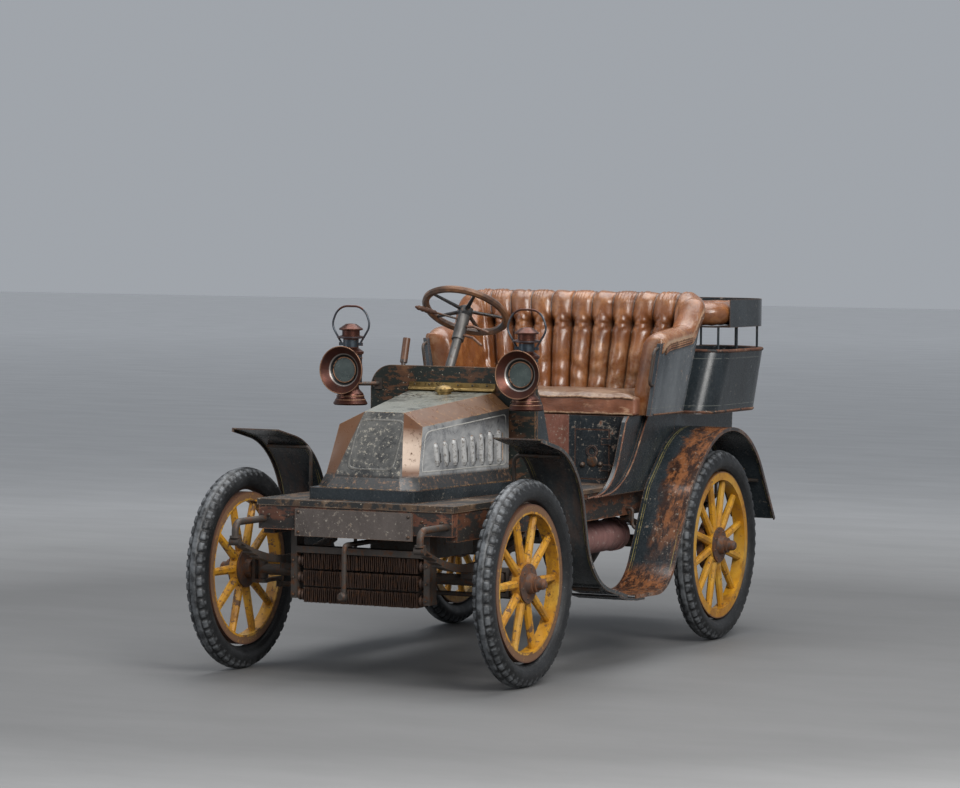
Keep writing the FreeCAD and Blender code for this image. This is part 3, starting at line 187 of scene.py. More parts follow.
def makePaint(name, colour, faded, under, primer, chips=0.5, more=None):
    # old enamel: faded in clouds, scratched, chipped to what is under it, most of all on its edges; more(f)
    # coats it with lines or patches and hands back how much further the paint is worn there
    f = Finish(name, Specular_IOR_Level=0.32, Coat_Weight=0.1, Coat_Roughness=0.2)
    clouds = f.patches(0.35, 0.7, 4.0, 6, 0.65, wornPaint["streak"])
    f.tone = f.mix(clouds, colour, faded)
    dust = f.patches(0.5, 0.8, 150, 3, 0.7) * wornPaint["dust"]
    f.coat(dust, tuple(0.5 * c + 0.12 for c in faded))
    spent = more(f) if more else 0.0
    flakes = f.noise(wornPaint["chipSize"], 8, 0.72)
    patch = f.patches(0.3, 0.75, 3.2, 3, 0.5, shift=(3, 1, 2))
    worn = flakes + (f.edges(wornPaint["edge"]) * 0.32 + patch * (0.12 * chips)) + spent
    bare = f.level(worn, 0.7, 0.735)
    light = f.level(worn, 0.675, 0.7)
    specks = f.patches(0.74 - 0.06 * chips, 0.77 - 0.06 * chips, 95, 4, 0.6, shift=(7, 3, 5))
    f.coat(light * 0.55, primer)
    f.coat(bare, f.mix(f.noise(26, 4), under, tuple(0.45 * c for c in under)))
    f.coat(specks * 0.7, primer)
    scratches = f.patches(0.7, 0.72, 9, 4, 0.6, (1, 1, 9), (5, 2, 8), 2.0)
    f.coat(scratches * 0.35, primer)
    rough = f.noise(30, 5) * 0.22 + f.level(bare, 0, 1, (wornPaint["gloss"] - 0.1, 0.55))
    high = f.noise(60, 4) * 0.15 - bare
    return f.done(rough, high, 0.0006, 0.6)


def makeWood(name, stain, worn, dark, grain, paint=None, paintLeft=0.4):
    # timber with the grain along one axis (small stretch) and the remains of paint or varnish
    f = Finish(name, Specular_IOR_Level=0.35)
    lines = f.noise(16, 8, 0.7, grain, warp=0.3)
    f.tone = f.blend(lines, 0.3, 0.7, dark, stain)
    f.coat(f.level(f.noise(7, 5) + f.edges(0.006) * 0.2, 0.55, 0.72), worn)
    flakes = f.noise(22, 8, 0.75, tuple(0.35 + 0.65 * g for g in grain))
    if paint:
        kept = f.level(flakes - f.edges(0.006) * 0.2, 0.62 - paintLeft * 0.3, 0.65 - paintLeft * 0.3)
        f.coat(kept, paint)
    f.coat(f.patches(0.66, 0.72, 120, 3), (0.42, 0.36, 0.28))
    return f.done(f.level(lines, 0.2, 0.8, (0.5, 0.78)), lines + flakes, 0.0009, 0.6)


def makeMetal(name, bare, stained, rust, metal, rustAt=0.6, rough=(0.3, 0.6)):
    # cast, drawn or plated metal, stained in clouds with rust or tarnish coming through in spots
    f = Finish(name, Metallic=metal)
    clouds = f.noise(9, 6, 0.65)
    f.tone = f.blend(clouds, 0.3, 0.7, bare, stained)
    spots = f.noise(45, 7, 0.7) - f.edges(0.003) * 0.06
    eaten = f.level(spots, rustAt - 0.04, rustAt + 0.05)
    f.coat(eaten, f.mix(f.noise(200), rust, tuple(0.4 * c for c in rust)))
    high = eaten * 0.7 + f.noise(300, 3) * 0.4
    dull = f.most(f.level(clouds, 0.2, 0.8, rough), f.level(eaten, 0, 1, (0, 0.75)))
    return f.done(dull, high, 0.0005, 0.6)


def band(f, value, middle, width):  # 1 within a line drawn at a height or a distance
    return f.level(abs(value - middle), width, width * 0.6)


coach = {"line": (0.4, 0.33, 0.1), "lineWide": 0.0016, "lineInset": 0.014, "lineGap": 0.009, "wingWide": 0.2,
         "rust": (0.135, 0.052, 0.02), "streak": (0.028, 0.014, 0.01), "rustFrom": 0.079, "rustLow": 0.43}


def wingMarks(rusty, foot):
    # double coach lines along the inner edge, one along the outer; rust comes through the outer half in streaks, and
    # the crown's product with the surface's direction keeps it off the underside
    def add(f):
        x, y, z = abs(f.along("X")), f.along("Y"), f.along("Z")
        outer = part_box("rear_wings")[1][0]
        inner, wide = outer - coach["wingWide"], coach["lineWide"]
        lines = f.most(band(f, x, inner + coach["lineInset"], wide), band(f, x, outer - coach["lineInset"], wide),
                       band(f, x, inner + coach["lineInset"] + coach["lineGap"], wide * 0.6))
        f.coat(lines * f.patches(0.38, 0.5, 18, 6, 0.7) * 0.6, coach["line"])
        drift = (f.noise(7, 6, 0.75, (1, 1, 0.4)) - 0.5) * 0.16
        crown = (y - (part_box("rear_axle")[0][1] + 0.08)) * f.along("Y", f.normal) + (z - 0.39) * f.along("Z", f.normal)
        half = (f.past(x + drift, inner + coach["rustFrom"], 0.011) * f.past(z, coach["rustLow"], 0.09)
                * f.past(crown, 0, 0.02))
        low = f.past(z + drift * 0.5, foot, -0.025)
        bark = f.patches(0.46, 0.56, 30, 8, 0.78, (1, 0.5, 0.3))
        rustTone = f.mix(f.noise(11, 5), coach["rust"], tuple(1.6 * c for c in coach["rust"]))
        f.coat(f.most(half, low) * rusty, f.mix(bark, coach["streak"], rustTone))
        grit = band(f, z, 0.42, 0.13) * f.patches(0.62, 0.68, 120, 4, 0.7)
        f.coat(grit * rusty * f.patches(0.45, 0.6, 9, 4), (0.36, 0.32, 0.26))
        return band(f, x, outer, 0.012) * 0.05
    return add


def heightLines(*heights):  # faint coach lines round a panel, and a paler patch towards the rear
    def add(f):
        z = f.along("Z")
        for height in heights:
            drawn = band(f, z, height, coach["lineWide"]) * f.patches(0.4, 0.5, 25, 5, 0.7)
            f.coat(drawn * 0.6, (0.16, 0.17, 0.15))
        rear = f.patches(0.64, 0.68, 50, 5, 0.65, shift=(2, 8, 1))
        f.coat(rear * f.level(f.along("Y"), 0.9, 1.5, (0, 0.5)), (0.3, 0.31, 0.3))
        return f.level(z, heights[0] + 0.03, heights[0] - 0.02) * 0.03
    return add


def pinkBoard(f):  # the bare board beside the locker
    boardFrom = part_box("locker_door")[0][0] - 0.0295
    bare = f.mix(f.patches(0.35, 0.65, 24, 7, 0.7, (1, 1, 0.3)), (0.22, 0.1, 0.075), (0.13, 0.055, 0.04))
    f.coat(f.past(f.along("X"), boardFrom, -0.0015), bare)
    return 0.0


blackEnamel = dict(colour=(0.007, 0.01, 0.012), faded=(0.026, 0.034, 0.04), under=(0.15, 0.07, 0.035),
                   primer=(0.38, 0.34, 0.28))
bodyPaint = makePaint("bodyPaint", chips=0.75, **blackEnamel)
wingPaint = makePaint("wingPaint", chips=0.9, more=wingMarks(1.0, 0.335), **blackEnamel)
frontWingPaint = makePaint("frontWingPaint", chips=0.9, more=wingMarks(0.15, 0.295),
                           **dict(blackEnamel, faded=(0.05, 0.058, 0.062)))
tubPaint = makePaint("tubPaint", chips=0.55, more=heightLines(0.952, 1.145), **blackEnamel)
boxPaint = makePaint("boxPaint", chips=1.35, more=pinkBoard,
                     **dict(blackEnamel, under=(0.17, 0.075, 0.045), colour=(0.01, 0.01, 0.011)))
seatShellPaint = makePaint("seatShellPaint", (0.03, 0.038, 0.046), (0.145, 0.16, 0.172), (0.22, 0.1, 0.05),
                           (0.62, 0.6, 0.56), 1.0, more=heightLines(0.958))
platePaint = makePaint("platePaint", (0.05, 0.04, 0.036), (0.135, 0.112, 0.1), (0.18, 0.1, 0.06),
                       (0.42, 0.38, 0.32), 1.5)
ironBlack = makeMetal("ironBlack", (0.035, 0.03, 0.027), (0.075, 0.06, 0.05), (0.13, 0.055, 0.025), 0.4, 0.56,
                      (0.45, 0.7))
rustIron = makeMetal("rustIron", (0.1, 0.06, 0.045), (0.06, 0.045, 0.04), (0.2, 0.085, 0.04), 0.35, 0.5, (0.5, 0.75))
castGrey = makeMetal("castGrey", (0.12, 0.11, 0.1), (0.05, 0.045, 0.04), (0.12, 0.07, 0.04), 0.5, 0.58, (0.5, 0.7))
oldBrass = makeMetal("oldBrass", (0.36, 0.25, 0.095), (0.18, 0.115, 0.045), (0.09, 0.055, 0.03), 0.9, 0.6, (0.3, 0.5))
bareSteel = makeMetal("bareSteel", (0.22, 0.21, 0.2), (0.08, 0.075, 0.07), (0.12, 0.06, 0.03), 0.85, 0.62, (0.25, 0.5))
railWood = makeWood("railWood", (0.13, 0.05, 0.024), (0.26, 0.12, 0.055), (0.06, 0.025, 0.015), (1, 0.07, 1),
                    (0.022, 0.021, 0.02), 0.45)
boardWood = makeWood("boardWood", (0.13, 0.05, 0.03), (0.3, 0.135, 0.075), (0.045, 0.02, 0.013), (0.07, 1, 1),
                     (0.022, 0.019, 0.018), 0.5)
floorWood = makeWood("floorWood", (0.12, 0.075, 0.045), (0.22, 0.16, 0.11), (0.05, 0.03, 0.02), (1, 0.07, 1),
                     (0.02, 0.02, 0.02), 0.5)
dashWood = makeWood("dashWood", (0.11, 0.05, 0.025), (0.22, 0.11, 0.05), (0.04, 0.02, 0.012), (0.07, 1, 1),
                    (0.012, 0.016, 0.014), 0.56)
print("finishes mixed")


# ---- the frame's own nodes get their finishes ----

def wear(material, *names):  # the material replaces whatever the nodes had
    for name in names:
        slots = nodes[name].data.materials
        slots.clear()
        slots.append(material)


wear(railWood, "side_rails")
wear(boardWood, "cross_members")
wear(ironBlack, "dumb_irons", "front_springs", "rear_springs", "front_axle", "rear_axle", "left_knuckle",
     "right_knuckle", "track_rod", "starting_handle", "grab_loops", "wing_stays", "lamp_brackets", "radiator_frame")
wear(castGrey, "drive_line", "engine_block")
wear(rustIron, "front_left_hub", "front_right_hub", "rear_left_hub", "rear_right_hub")
wear(bodyPaint, "bonnet_plinth", "scuttle_sides", "body_sides", "rail_frame", "steps")
wear(wingPaint, "rear_wings")
wear(frontWingPaint, "front_wings")
wear(tubPaint, "tonneau_body", "tonneau_door")
wear(boxPaint, "seat_box", "locker_door")
wear(seatShellPaint, "seat_frame")
wear(platePaint, "number_plate")
wear(oldBrass, "filler_cap", "dash_strip")
wear(bareSteel, "steering_column")
wear(dashWood, "dash_board")
wear(floorWood, "floor_boards")
print("frame finished")


# ---- tyres and wheels ----

f = Finish("rubberLook", Specular_IOR_Level=0.35)
dusty = f.patches(0.35, 0.75, 9, 6, 0.7)
f.tone = f.mix(dusty, (0.0065, 0.007, 0.0075), (0.022, 0.023, 0.025))
f.coat(f.mark("lug") * f.patches(0.36, 0.6, 30, 6), (0.115, 0.122, 0.13))
f.coat(f.patches(0.62, 0.72, 220, 3), (0.11, 0.105, 0.1))
tyreRubber = f.done(f.level(f.noise(14, 5), 0.3, 0.7, (0.36, 0.62)), f.noise(260, 4), 0.0005, 0.5)

tyreLook = {"lugs": 54, "tread": 0.0055, "samplesPerLug": 10, "section": 56}


def softStep(x, low, high):
    t = np.clip((x - low) / (high - low), 0, 1)
    return t * t * (3 - 2 * t)


def hump(x, width):  # 1 at 0, fading on both sides
    return np.exp(-(x / width) ** 2)


def quarterRound(x):  # rises from 0 as a quarter circle, to 1 where x is 1
    return np.sqrt(np.clip(1 - (1 - np.clip(x, 0, 1)) ** 2, 0, 1))


def tyreSurface(centre, outer, half):
    # a ring: angle a runs round the wheel, angle b round the section; the tread height is a product of steps,
    # shoulder blocks with gaps between them, side bars below each block, and a zigzag rib in the middle
    n, m = tyreLook["lugs"] * tyreLook["samplesPerLug"], tyreLook["section"]
    a = np.linspace(0, 2 * pi, n, endpoint=False)[:, None]
    b = np.linspace(-pi, pi, m, endpoint=False)[None, :]
    turn = a * tyreLook["lugs"] / (2 * pi)

    def beat(shift):  # 1 at a gap, 0 mid block
        return np.abs(((turn + shift) % 1.0) - 0.5) * 2

    reach = np.abs(b)
    skew = np.where(b > 0, 0.0, 0.5) + 0.0 * a
    shoulder = softStep(reach, 0.34, 0.42) * (1 - softStep(reach, 0.86, 0.92)) * (1 - softStep(beat(skew), 0.62, 0.78))
    middle = 1 - softStep(np.abs(reach - 0.03 * np.sin(2 * pi * turn)), 0.22, 0.3)
    middle = middle * (1 - 0.8 * softStep(beat(0.25), 0.9, 0.97))
    sideBar = softStep(reach, 0.92, 0.97) * (1 - softStep(reach, 1.16, 1.24)) * (1 - softStep(beat(skew), 0.28, 0.42))
    lug = np.clip(shoulder + middle + 0.55 * sideBar, 0, 1)
    bead = 0.0016 * hump(reach - 2.05, 0.06)
    height = half - tyreLook["tread"] * (1 - lug) + bead
    ring = outer - half
    far = ring + height * np.cos(b)
    around = [height * np.sin(b) + 0 * a, far * np.cos(a), far * np.sin(a)]
    return centre + np.stack(around, -1), lug + 0 * a


def wheelPaint(name, centre, inner, outer, bareRim, chips):
    # yellow over red lead; the felloe's outer ring is worn to wood on the front wheels, and brush marks run outwards
    f = Finish(name, Specular_IOR_Level=0.4)
    spot = f.node("Mapping", {0: f.coords, 1: (0, -centre[1], -centre[2])})
    y, z = f.along("Y", spot), f.along("Z", spot)
    far = f.apart(y, z)
    f.tone = f.mix(f.patches(0.3, 0.7, 14, 6), (0.56, 0.275, 0.014), (0.3, 0.12, 0.01))
    f.coat(f.patches(0.5, 0.7, 5, 4, shift=(1, 2, 0)), (0.5, 0.3, 0.05))
    worn = f.noise(48, 8, 0.72) + f.edges(0.004) * 0.1
    worn = worn + f.level(f.noise(13, 4, 0.6, shift=(6, 2, 9)), 0.5, 0.75, (0.0, 2.4 * max(chips, 0.02)))
    rim = f.level(far, inner + 0.004, inner + 0.008)
    face = rim * bareRim
    worn = worn + chips + face * 0.16
    streaks = f.patches(0.52, 0.62, 15, 6, 0.75, (1, 0.6, 0.6), (9, 3, 1))
    f.coat(streaks * 0.55, (0.15, 0.062, 0.012))
    bare = f.mix(f.noise(60, 5, 0.7), (0.2, 0.105, 0.05), (0.045, 0.024, 0.014))
    f.coat(f.level(worn, 0.66, 0.69), bare)
    f.coat(face * 0.72, (0.16, 0.085, 0.045))
    ring = f.level(far, outer - 0.006, outer - 0.003)
    f.coat(ring * 0.75, (0.09, 0.04, 0.028))
    high = f.noise(70, 5) * 0.3 - f.level(worn, 0.66, 0.69)
    return f.done(f.level(worn, 0.5, 0.75, (0.38, 0.7)), high, 0.0007, 0.7)


for end in ("front", "rear"):
    for side in ("left", "right"):
        corner = end + "_" + side
        low, high = (np.array(c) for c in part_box(corner + "_tyre"))
        centre, outer = (low + high) / 2, (high[2] - low[2]) / 2
        half = (high[0] - low[0]) / 2
        points, lug = tyreSurface(centre, outer, half)
        tyre = meshPiece("tyre." + corner, points, gridFaces(*lug.shape, True, True)[:, ::-1], tyreRubber,
                         corner + "_wheel", "tyre", {"lug": lug})
        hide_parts(corner + "_tyre")
        if side == "left":
            reach = (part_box(corner + "_wheel")[1][2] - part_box(corner + "_wheel")[0][2]) / 2
            paint = wheelPaint(end + "WheelPaint", centre, reach - 0.032, reach, 1.0 if end == "front" else 0.0,
                               0.075 if end == "front" else 0.04)
        wear(paint, corner + "_wheel")
print("tyres and wheels")


# ---- leather ----

leatherTone = {"hide": (0.185, 0.062, 0.018), "deep": (0.07, 0.021, 0.008), "worn": (0.36, 0.15, 0.048),
               "pale": (0.34, 0.205, 0.115), "crackSize": 130.0}


def makeLeather(name, hide, deep, worn, pale, paleAmount=0.5):
    # old upholstery hide: rubbed light where it is proud, dark in its seams, with painted shade in the sunk grooves and
    # button dents, cracked all over, polished by use
    f = Finish(name, Specular_IOR_Level=0.5, Coat_Weight=0.3, Coat_Roughness=0.16)
    seamAndShade, proud = f.mark("seamAndShade"), f.mark("proud")
    clouds = f.noise(7, 7, 0.68, warp=0.6)
    f.tone = f.blend(clouds, 0.2, 0.62, deep, hide)
    f.coat(f.level(f.noise(16, 6, 0.7) + proud * 0.1, 0.56, 0.8) * 0.6, worn)
    rubbed = f.mark("rubbed") * f.patches(0.42, 0.6, 17, 8, 0.75, warp=1.0)
    f.coat(rubbed * paleAmount, pale)
    web = f.cracks(leatherTone["crackSize"])
    broken = f.level(web, 0.05, 0.0) * f.patches(0.42, 0.65, 8, 5, shift=(4, 4, 4))
    f.coat(broken * 0.55, tuple(0.5 * c for c in deep))
    f.coat(f.mark("edge") * 0.8, (0.52, 0.4, 0.27))
    # near black along the seams, and painted shade over the seat back's sunk grooves and button dents
    f.coat(seamAndShade * 0.95, (0.014, 0.007, 0.005))
    wrinkle = f.noise(26, 7, 0.7, (1, 1, 0.5), warp=1.5)
    pebble = f.node("TexVoronoi", {"Vector": f.coords, "Scale": 520.0}, "Distance")
    high = wrinkle * 1.6 + pebble * 0.18
    high = high - broken * 0.6
    rough = f.level(clouds, 0.3, 0.7, (0.1, 0.32)) + seamAndShade * 0.3
    return f.done(rough, high, 0.0016, 0.7)


seatLeather = makeLeather("seatLeather", *(leatherTone[k] for k in ("hide", "deep", "worn", "pale")))
redLeather = makeLeather("redLeather", (0.24, 0.075, 0.035), (0.1, 0.035, 0.02), (0.33, 0.15, 0.085),
                         (0.5, 0.4, 0.3), 0.3)
f = Finish("pipingCord", Specular_IOR_Level=0.3)
f.tone = f.mix(f.patches(0.45, 0.62, 60, 6, 0.7), (0.25, 0.155, 0.095), (0.1, 0.042, 0.024))
pipingLook = f.done(0.6, f.noise(300), 0.0005, 0.5)


# ---- buttoned seat back ----

seatBack = {"seams": 10, "pitch": 0.0875, "buttonDrop": 0.132, "thick": 0.082, "seamDepth": 0.044, "rollHigh": 0.048,
            "across": 640, "up": 104, "over": 30, "wall": 0.0183, "corner": 0.12, "cornerTop": 0.112, "proud": 0.007,
            "footHalf": 0.485, "spread": 0.075, "rake": 0.06, "armDrop": 0.16, "armRise": 0.03, "armDeep": 0.3,
            "plan": (0.29, 0.15, 0.81), "pleatHalf": 0.41, "pleatRear": 0.07, "dip": 0.007, "buttonSunk": 0.03,
            "pucker": 0.0028, "bulge": 0.01, "wave": 0.0006, "sag": 0.0024, "gather": 0.0022,
            "rakeFrom": 0.951, "piping": 0.0034, "button": (0.0085, 0.006)}
frameLow, frameHigh = (np.array(c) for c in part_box("seat_frame"))
backLow, backHigh = (np.array(c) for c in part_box("seat_back"))
shellRise = 1.0513 * (frameHigh[2] - frameLow[2])


def shellLine(s, inset, z):
    # U-shaped plan of the seat shell at height z, set in by an inset: straight arm, quarter turn, straight back,
    # quarter turn, straight arm; s runs 0 to 1 by the length of the middle line
    climb = (z - frameLow[2]) / shellRise
    half = seatBack["footHalf"] + seatBack["spread"] * climb - inset
    rear = frameHigh[1] + seatBack["rake"] * (climb - seatBack["rakeFrom"]) - inset
    bend = np.maximum(seatBack["corner"] - inset, 0.02)
    arm, turn, back = seatBack["plan"]
    total = 2 * (arm + turn) + back
    t = s * total
    mirror = np.where(t > total / 2, -1.0, 1.0)
    t = np.minimum(t, total - t)
    front = backLow[1]
    onArm, onTurn = t < arm, t < arm + turn
    q = np.clip((t - arm) / turn, 0, 1) * pi / 2
    along = (t - arm - turn) / (back / 2)
    x = np.where(onArm, half, np.where(onTurn, half - bend + bend * np.cos(q), (half - bend) * (1 - along)))
    y = np.where(onArm, front + (rear - bend - front) * t / arm, np.where(onTurn, rear - bend + bend * np.sin(q), rear))
    return x * mirror, y


def seatBackSurface():
    # each column climbs the padded face, goes over a half-round roll and ends on the shell's outside; the padding
    # is full between seams, sunk at the seams, drawn in at one row of buttons and puckered round each of them
    p = seatBack
    s = np.linspace(0, 1, p["across"])[:, None]
    x0, y0 = shellLine(s, 0.03, 1.2 + 0 * s)
    back = softStep(y0, frameHigh[1] - 0.195, frameHigh[1] - 0.12)
    outwards = np.clip(np.abs(x0) * 1.05 - 0.448, 0, 0.1)
    crest = backHigh[2] - p["cornerTop"] + np.sqrt(np.clip(p["cornerTop"] ** 2 - outwards ** 2, 0, 1))
    behind = y0 - backLow[1]
    arm = backHigh[2] - p["armDrop"] + p["armRise"] * (behind / p["armDeep"]) - 0.02 * hump(behind, 0.03)
    top = arm + (crest - arm) * back
    phase = x0 / p["pitch"] + p["seams"] / 2 - 0.5
    swell = np.abs(np.sin(pi * phase)) ** 0.5
    pleated = (softStep(y0 - frameHigh[1] + p["pleatRear"], -0.008, 0.008)
               * (1 - softStep(np.abs(x0) - p["pleatHalf"], -0.008, 0.008)))
    swell = 1 - pleated * (1 - swell)
    top = top - p["dip"] * (1 - swell)
    apart = (((phase + 0.5) % 1.0) - 0.5) * p["pitch"]
    rng = np.random.default_rng(4)
    waves = list(zip(*rng.uniform([[-55], [-55], [-55], [0]], [[55], [55], [55], [6]], (4, 12))))

    def padding(z):
        drop = top - z
        low = softStep(drop, p["buttonDrop"] - 0.02, p["buttonDrop"] + 0.06)
        depthAt = p["thick"] - pleated * p["seamDepth"] * (0.6 + 0.4 * low) * (1 - swell)
        ring = np.hypot(apart, (drop - p["buttonDrop"]) * 0.8)
        button = hump(ring, 0.017) * pleated
        pucker = hump(ring, 0.05) * np.cos(7 * np.arctan2(drop - p["buttonDrop"], apart + 1e-6)) * pleated
        depthAt = depthAt - p["buttonSunk"] * button + p["pucker"] * pucker * (1 - button)
        depthAt = depthAt + p["bulge"] * (swell - 0.5) * hump(drop - 0.24, 0.09) * pleated
        wave = sum(p["wave"] * np.sin(a * x0 + b * z + c * y0 + d) for a, b, c, d in waves)
        sag = p["sag"] * np.sin(z * 90 + 3 * np.sin(x0 * 17)) * softStep(drop, 0.2, 0.34) * swell
        return depthAt + wave + sag, button

    v = np.linspace(0, 1, p["up"])[None, :]
    z = backLow[2] + (top - p["rollHigh"] - backLow[2]) * v
    depth, button = padding(z)
    ends = quarterRound(np.minimum(s, 1 - s) / 0.014)
    depth = depth * (0.15 + 0.85 * ends)
    w = np.linspace(0, pi, p["over"] + 1)[None, 1:]
    inner, outer = p["wall"] + depth[:, -1:], -p["proud"] * (0.4 + 0.6 * ends)
    gather = p["gather"] * np.sin(x0 * 300 + 8 * np.sin(x0 * 33)) * np.sin(w) * back
    rollIn = (inner + outer) / 2 + ((inner - outer) / 2 + gather) * np.cos(w)
    rollUp = top - p["rollHigh"] + (p["rollHigh"] + gather) * np.sin(w)
    skirt = np.concatenate([outer + 0 * s, 0.004 + 0 * s, p["wall"] - 0.001 + 0 * s], 1)
    skirtUp = top - p["rollHigh"] - np.array([[0.012, 0.015, 0.02]])
    down = p["wall"] + 0.0005 + 0 * np.linspace(0, 1, 8)[None, :] * s
    downUp = skirtUp[:, -1:] + (backLow[2] - skirtUp[:, -1:]) * np.linspace(0.1, 1, 8)[None, :]
    inset = np.concatenate([p["wall"] + depth, rollIn, skirt, down + 0 * s], 1)
    z = np.concatenate([z, rollUp, skirtUp, downUp], 1)

    def grow(a):  # shut ends, drawn in to the shell
        return np.concatenate([a[:1], a, a[-1:]])

    s, z, depth, inset = grow(s), grow(z), grow(depth), grow(inset)
    inset[0] = inset[-1] = p["wall"]
    x0, y0, top, swell, pleated, back, button = (grow(a + 0 * x0) for a in (x0, y0, top, swell, pleated, back, button))
    x, y = shellLine(s + 0 * z, inset, z)
    after = z.shape[1] - p["up"]

    def fill(a, rest):
        return np.concatenate([a + 0 * depth, rest + 0 * z[:, -after:]], 1)

    drop = top - z
    # the sunk grooves along the seams and the dents round the buttons take the seam mark, which paints shade into them
    groove = pleated * softStep(1 - swell, 0.62, 0.86)
    edge = 0.6 * hump(inset + p["proud"], 0.0022) * (z < top - 0.02)
    rubbed = softStep(drop, 0.16, 0.28) * softStep(x0, -0.15, 0.2) * (1 - softStep(x0, 0.3, 0.43))
    rubbed = np.maximum(rubbed, 0.5 * hump(drop - 0.03, 0.035) * back)
    rubbed = np.maximum(rubbed, (1 - back) * softStep(p["wall"] + 0.06 - inset, 0, 0.04))
    marks = {"seamAndShade": np.maximum(fill(np.maximum(groove, 0.8 * button), groove), 0),
             "proud": fill(softStep(depth / p["thick"], 0.72, 1.0), back), "rubbed": rubbed, "edge": edge}
    foot = top - p["rollHigh"]
    return np.stack([x, y, z], -1), marks, np.stack((*shellLine(s, -0.0065, foot), foot), -1)[8:-8, 0]


points, marks, rim = seatBackSurface()
rows, cols = points.shape[:2]
back = meshPiece("seatBack", points, gridFaces(rows, cols, False, True), seatLeather, "car", "leather", marks)
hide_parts("seat_back")


def tube(path, radius, sides=10, closed=False):
    # a round cord: the path's tangents carry a circle of the given radius (one number or one per point)
    path = np.asarray(path, float)
    ahead = np.roll(path, -1, 0) - np.roll(path, 1, 0)
    if not closed:
        ahead[0], ahead[-1] = path[1] - path[0], path[-1] - path[-2]
    ahead /= np.linalg.norm(ahead, axis=1)[:, None]
    up = np.where(np.abs(ahead[:, 2:]) > 0.9, [[1.0, 0, 0]], [[0, 0, 1.0]])
    side = np.cross(ahead, up)
    side /= np.linalg.norm(side, axis=1)[:, None]
    up = np.cross(side, ahead)
    angle = np.linspace(0, 2 * pi, sides, endpoint=False)[None, :, None]
    r = np.broadcast_to(np.asarray(radius, float).reshape(-1, 1, 1), (len(path), 1, 1))
    points = path[:, None] + r * (side[:, None] * np.cos(angle) + up[:, None] * np.sin(angle))
    return points, gridFaces(len(path), sides, closed, True)


def merge(parts):  # several (points, faces) become one
    points, faces, start = [], [], 0
    for p, f in parts:
        points.append(p.reshape(-1, 3))
        faces.append(np.asarray(f) + start)
        start += len(points[-1])
    return np.concatenate(points), np.concatenate(faces)


def domes(spots, axis, radius, high, sides=10):
    # flattened half balls standing on their spots along an axis, each a ring grid closed at its pole
    axis = np.asarray(axis, float) / np.linalg.norm(axis)
    other = np.cross(axis, [0.3, 0.5, 0.81])
    other /= np.linalg.norm(other)
    third = np.cross(axis, other)
    lift = np.linspace(-0.15, pi / 2, 5)[:, None, None]
    turn = np.linspace(0, 2 * pi, sides, endpoint=False)[None, :, None]
    shape = radius * np.cos(lift) * (other * np.cos(turn) + third * np.sin(turn)) + high * np.sin(lift) * axis
    faces = gridFaces(5, sides, False, True)
    return merge([(shape + np.asarray(spot), faces) for spot in spots])


buttonX = (np.arange(seatBack["seams"]) - (seatBack["seams"] - 1) / 2) * seatBack["pitch"]
buttonZ = backHigh[2] - seatBack["dip"] - seatBack["buttonDrop"]
rear = frameHigh[1] + seatBack["rake"] * ((buttonZ - frameLow[2]) / shellRise - seatBack["rakeFrom"])
buttonY = rear - seatBack["wall"] - seatBack["thick"] + seatBack["seamDepth"] * 0.72 + seatBack["buttonSunk"]
meshPiece("seatPiping", *tube(rim, seatBack["piping"], 8), pipingLook, "car", "leather")
buttons = domes([(x, buttonY, buttonZ) for x in buttonX], (0, -1, 0.12), *seatBack["button"], 12)
meshPiece("seatButtons", *buttons, redLeather, "car", "leather")
print("seat back buttoned")


# ---- loose cushions and the padded rail ----

cloth = {"voxel": 0.0062, "pressure": 4.0, "frames": 20, "cap": 0.014, "shrink": 0.985}
loose = {"crown": 0.12, "lift": 0.012, "seamDrop": 0.019, "seamWide": 0.0016, "piping": 0.0042,
         "benchCrown": 0.09, "benchLift": 0.01, "benchSeamDrop": 0.016}


def worldPoints(node):
    mesh = node.data
    flat = np.empty(len(mesh.vertices) * 3)
    mesh.vertices.foreach_get("co", flat)
    place = np.array(node.matrix_world)
    return flat.reshape(-1, 3) @ place[:3, :3].T + place[:3, 3]


def inflated(nodeName):
    # the cushion's block, remeshed and blown up as cloth with its swelling capped, back as points and faces
    start = worldPoints(nodes[nodeName])
    low, high = start.min(0), start.max(0)
    middle = (low + high) / 2
    mesh = nodes[nodeName].data.copy()
    mesh.vertices.foreach_set("co", (middle + (start - middle) * [1, cloth["shrink"], 0.9]).ravel())
    trial = addObject("trial", mesh)
    remesh = trial.modifiers.new("remesh", "REMESH")
    remesh.mode, remesh.voxel_size = "VOXEL", cloth["voxel"]
    block = bpy.data.meshes.new_from_object(trial.evaluated_get(bpy.context.evaluated_depsgraph_get()))
    trial.modifiers.clear()
    trial.data = block
    before = worldPoints(trial)
    sim = trial.modifiers.new("cloth", "CLOTH")
    sim.settings.use_pressure = True
    sim.settings.uniform_pressure_force = cloth["pressure"]
    sim.settings.effector_weights.gravity = 0
    sim.settings.quality = 5
    for frameNumber in range(1, cloth["frames"] + 1):
        bpy.context.scene.frame_set(frameNumber)
    swollen = bpy.data.meshes.new_from_object(trial.evaluated_get(bpy.context.evaluated_depsgraph_get()))
    bpy.context.scene.frame_set(1)
    after = np.empty(len(swollen.vertices) * 3)
    swollen.vertices.foreach_get("co", after)
    moved = after.reshape(-1, 3) - before
    far = np.linalg.norm(moved, axis=1)[:, None]
    before = before + moved * np.minimum(1, cloth["cap"] / np.maximum(far, 1e-9))
    bpy.data.meshes.remove(swollen)
    corners = np.empty(len(block.loops), int)
    block.loops.foreach_get("vertex_index", corners)
    bpy.data.objects.remove(trial)
    return before, corners.reshape(-1, 4), low, high


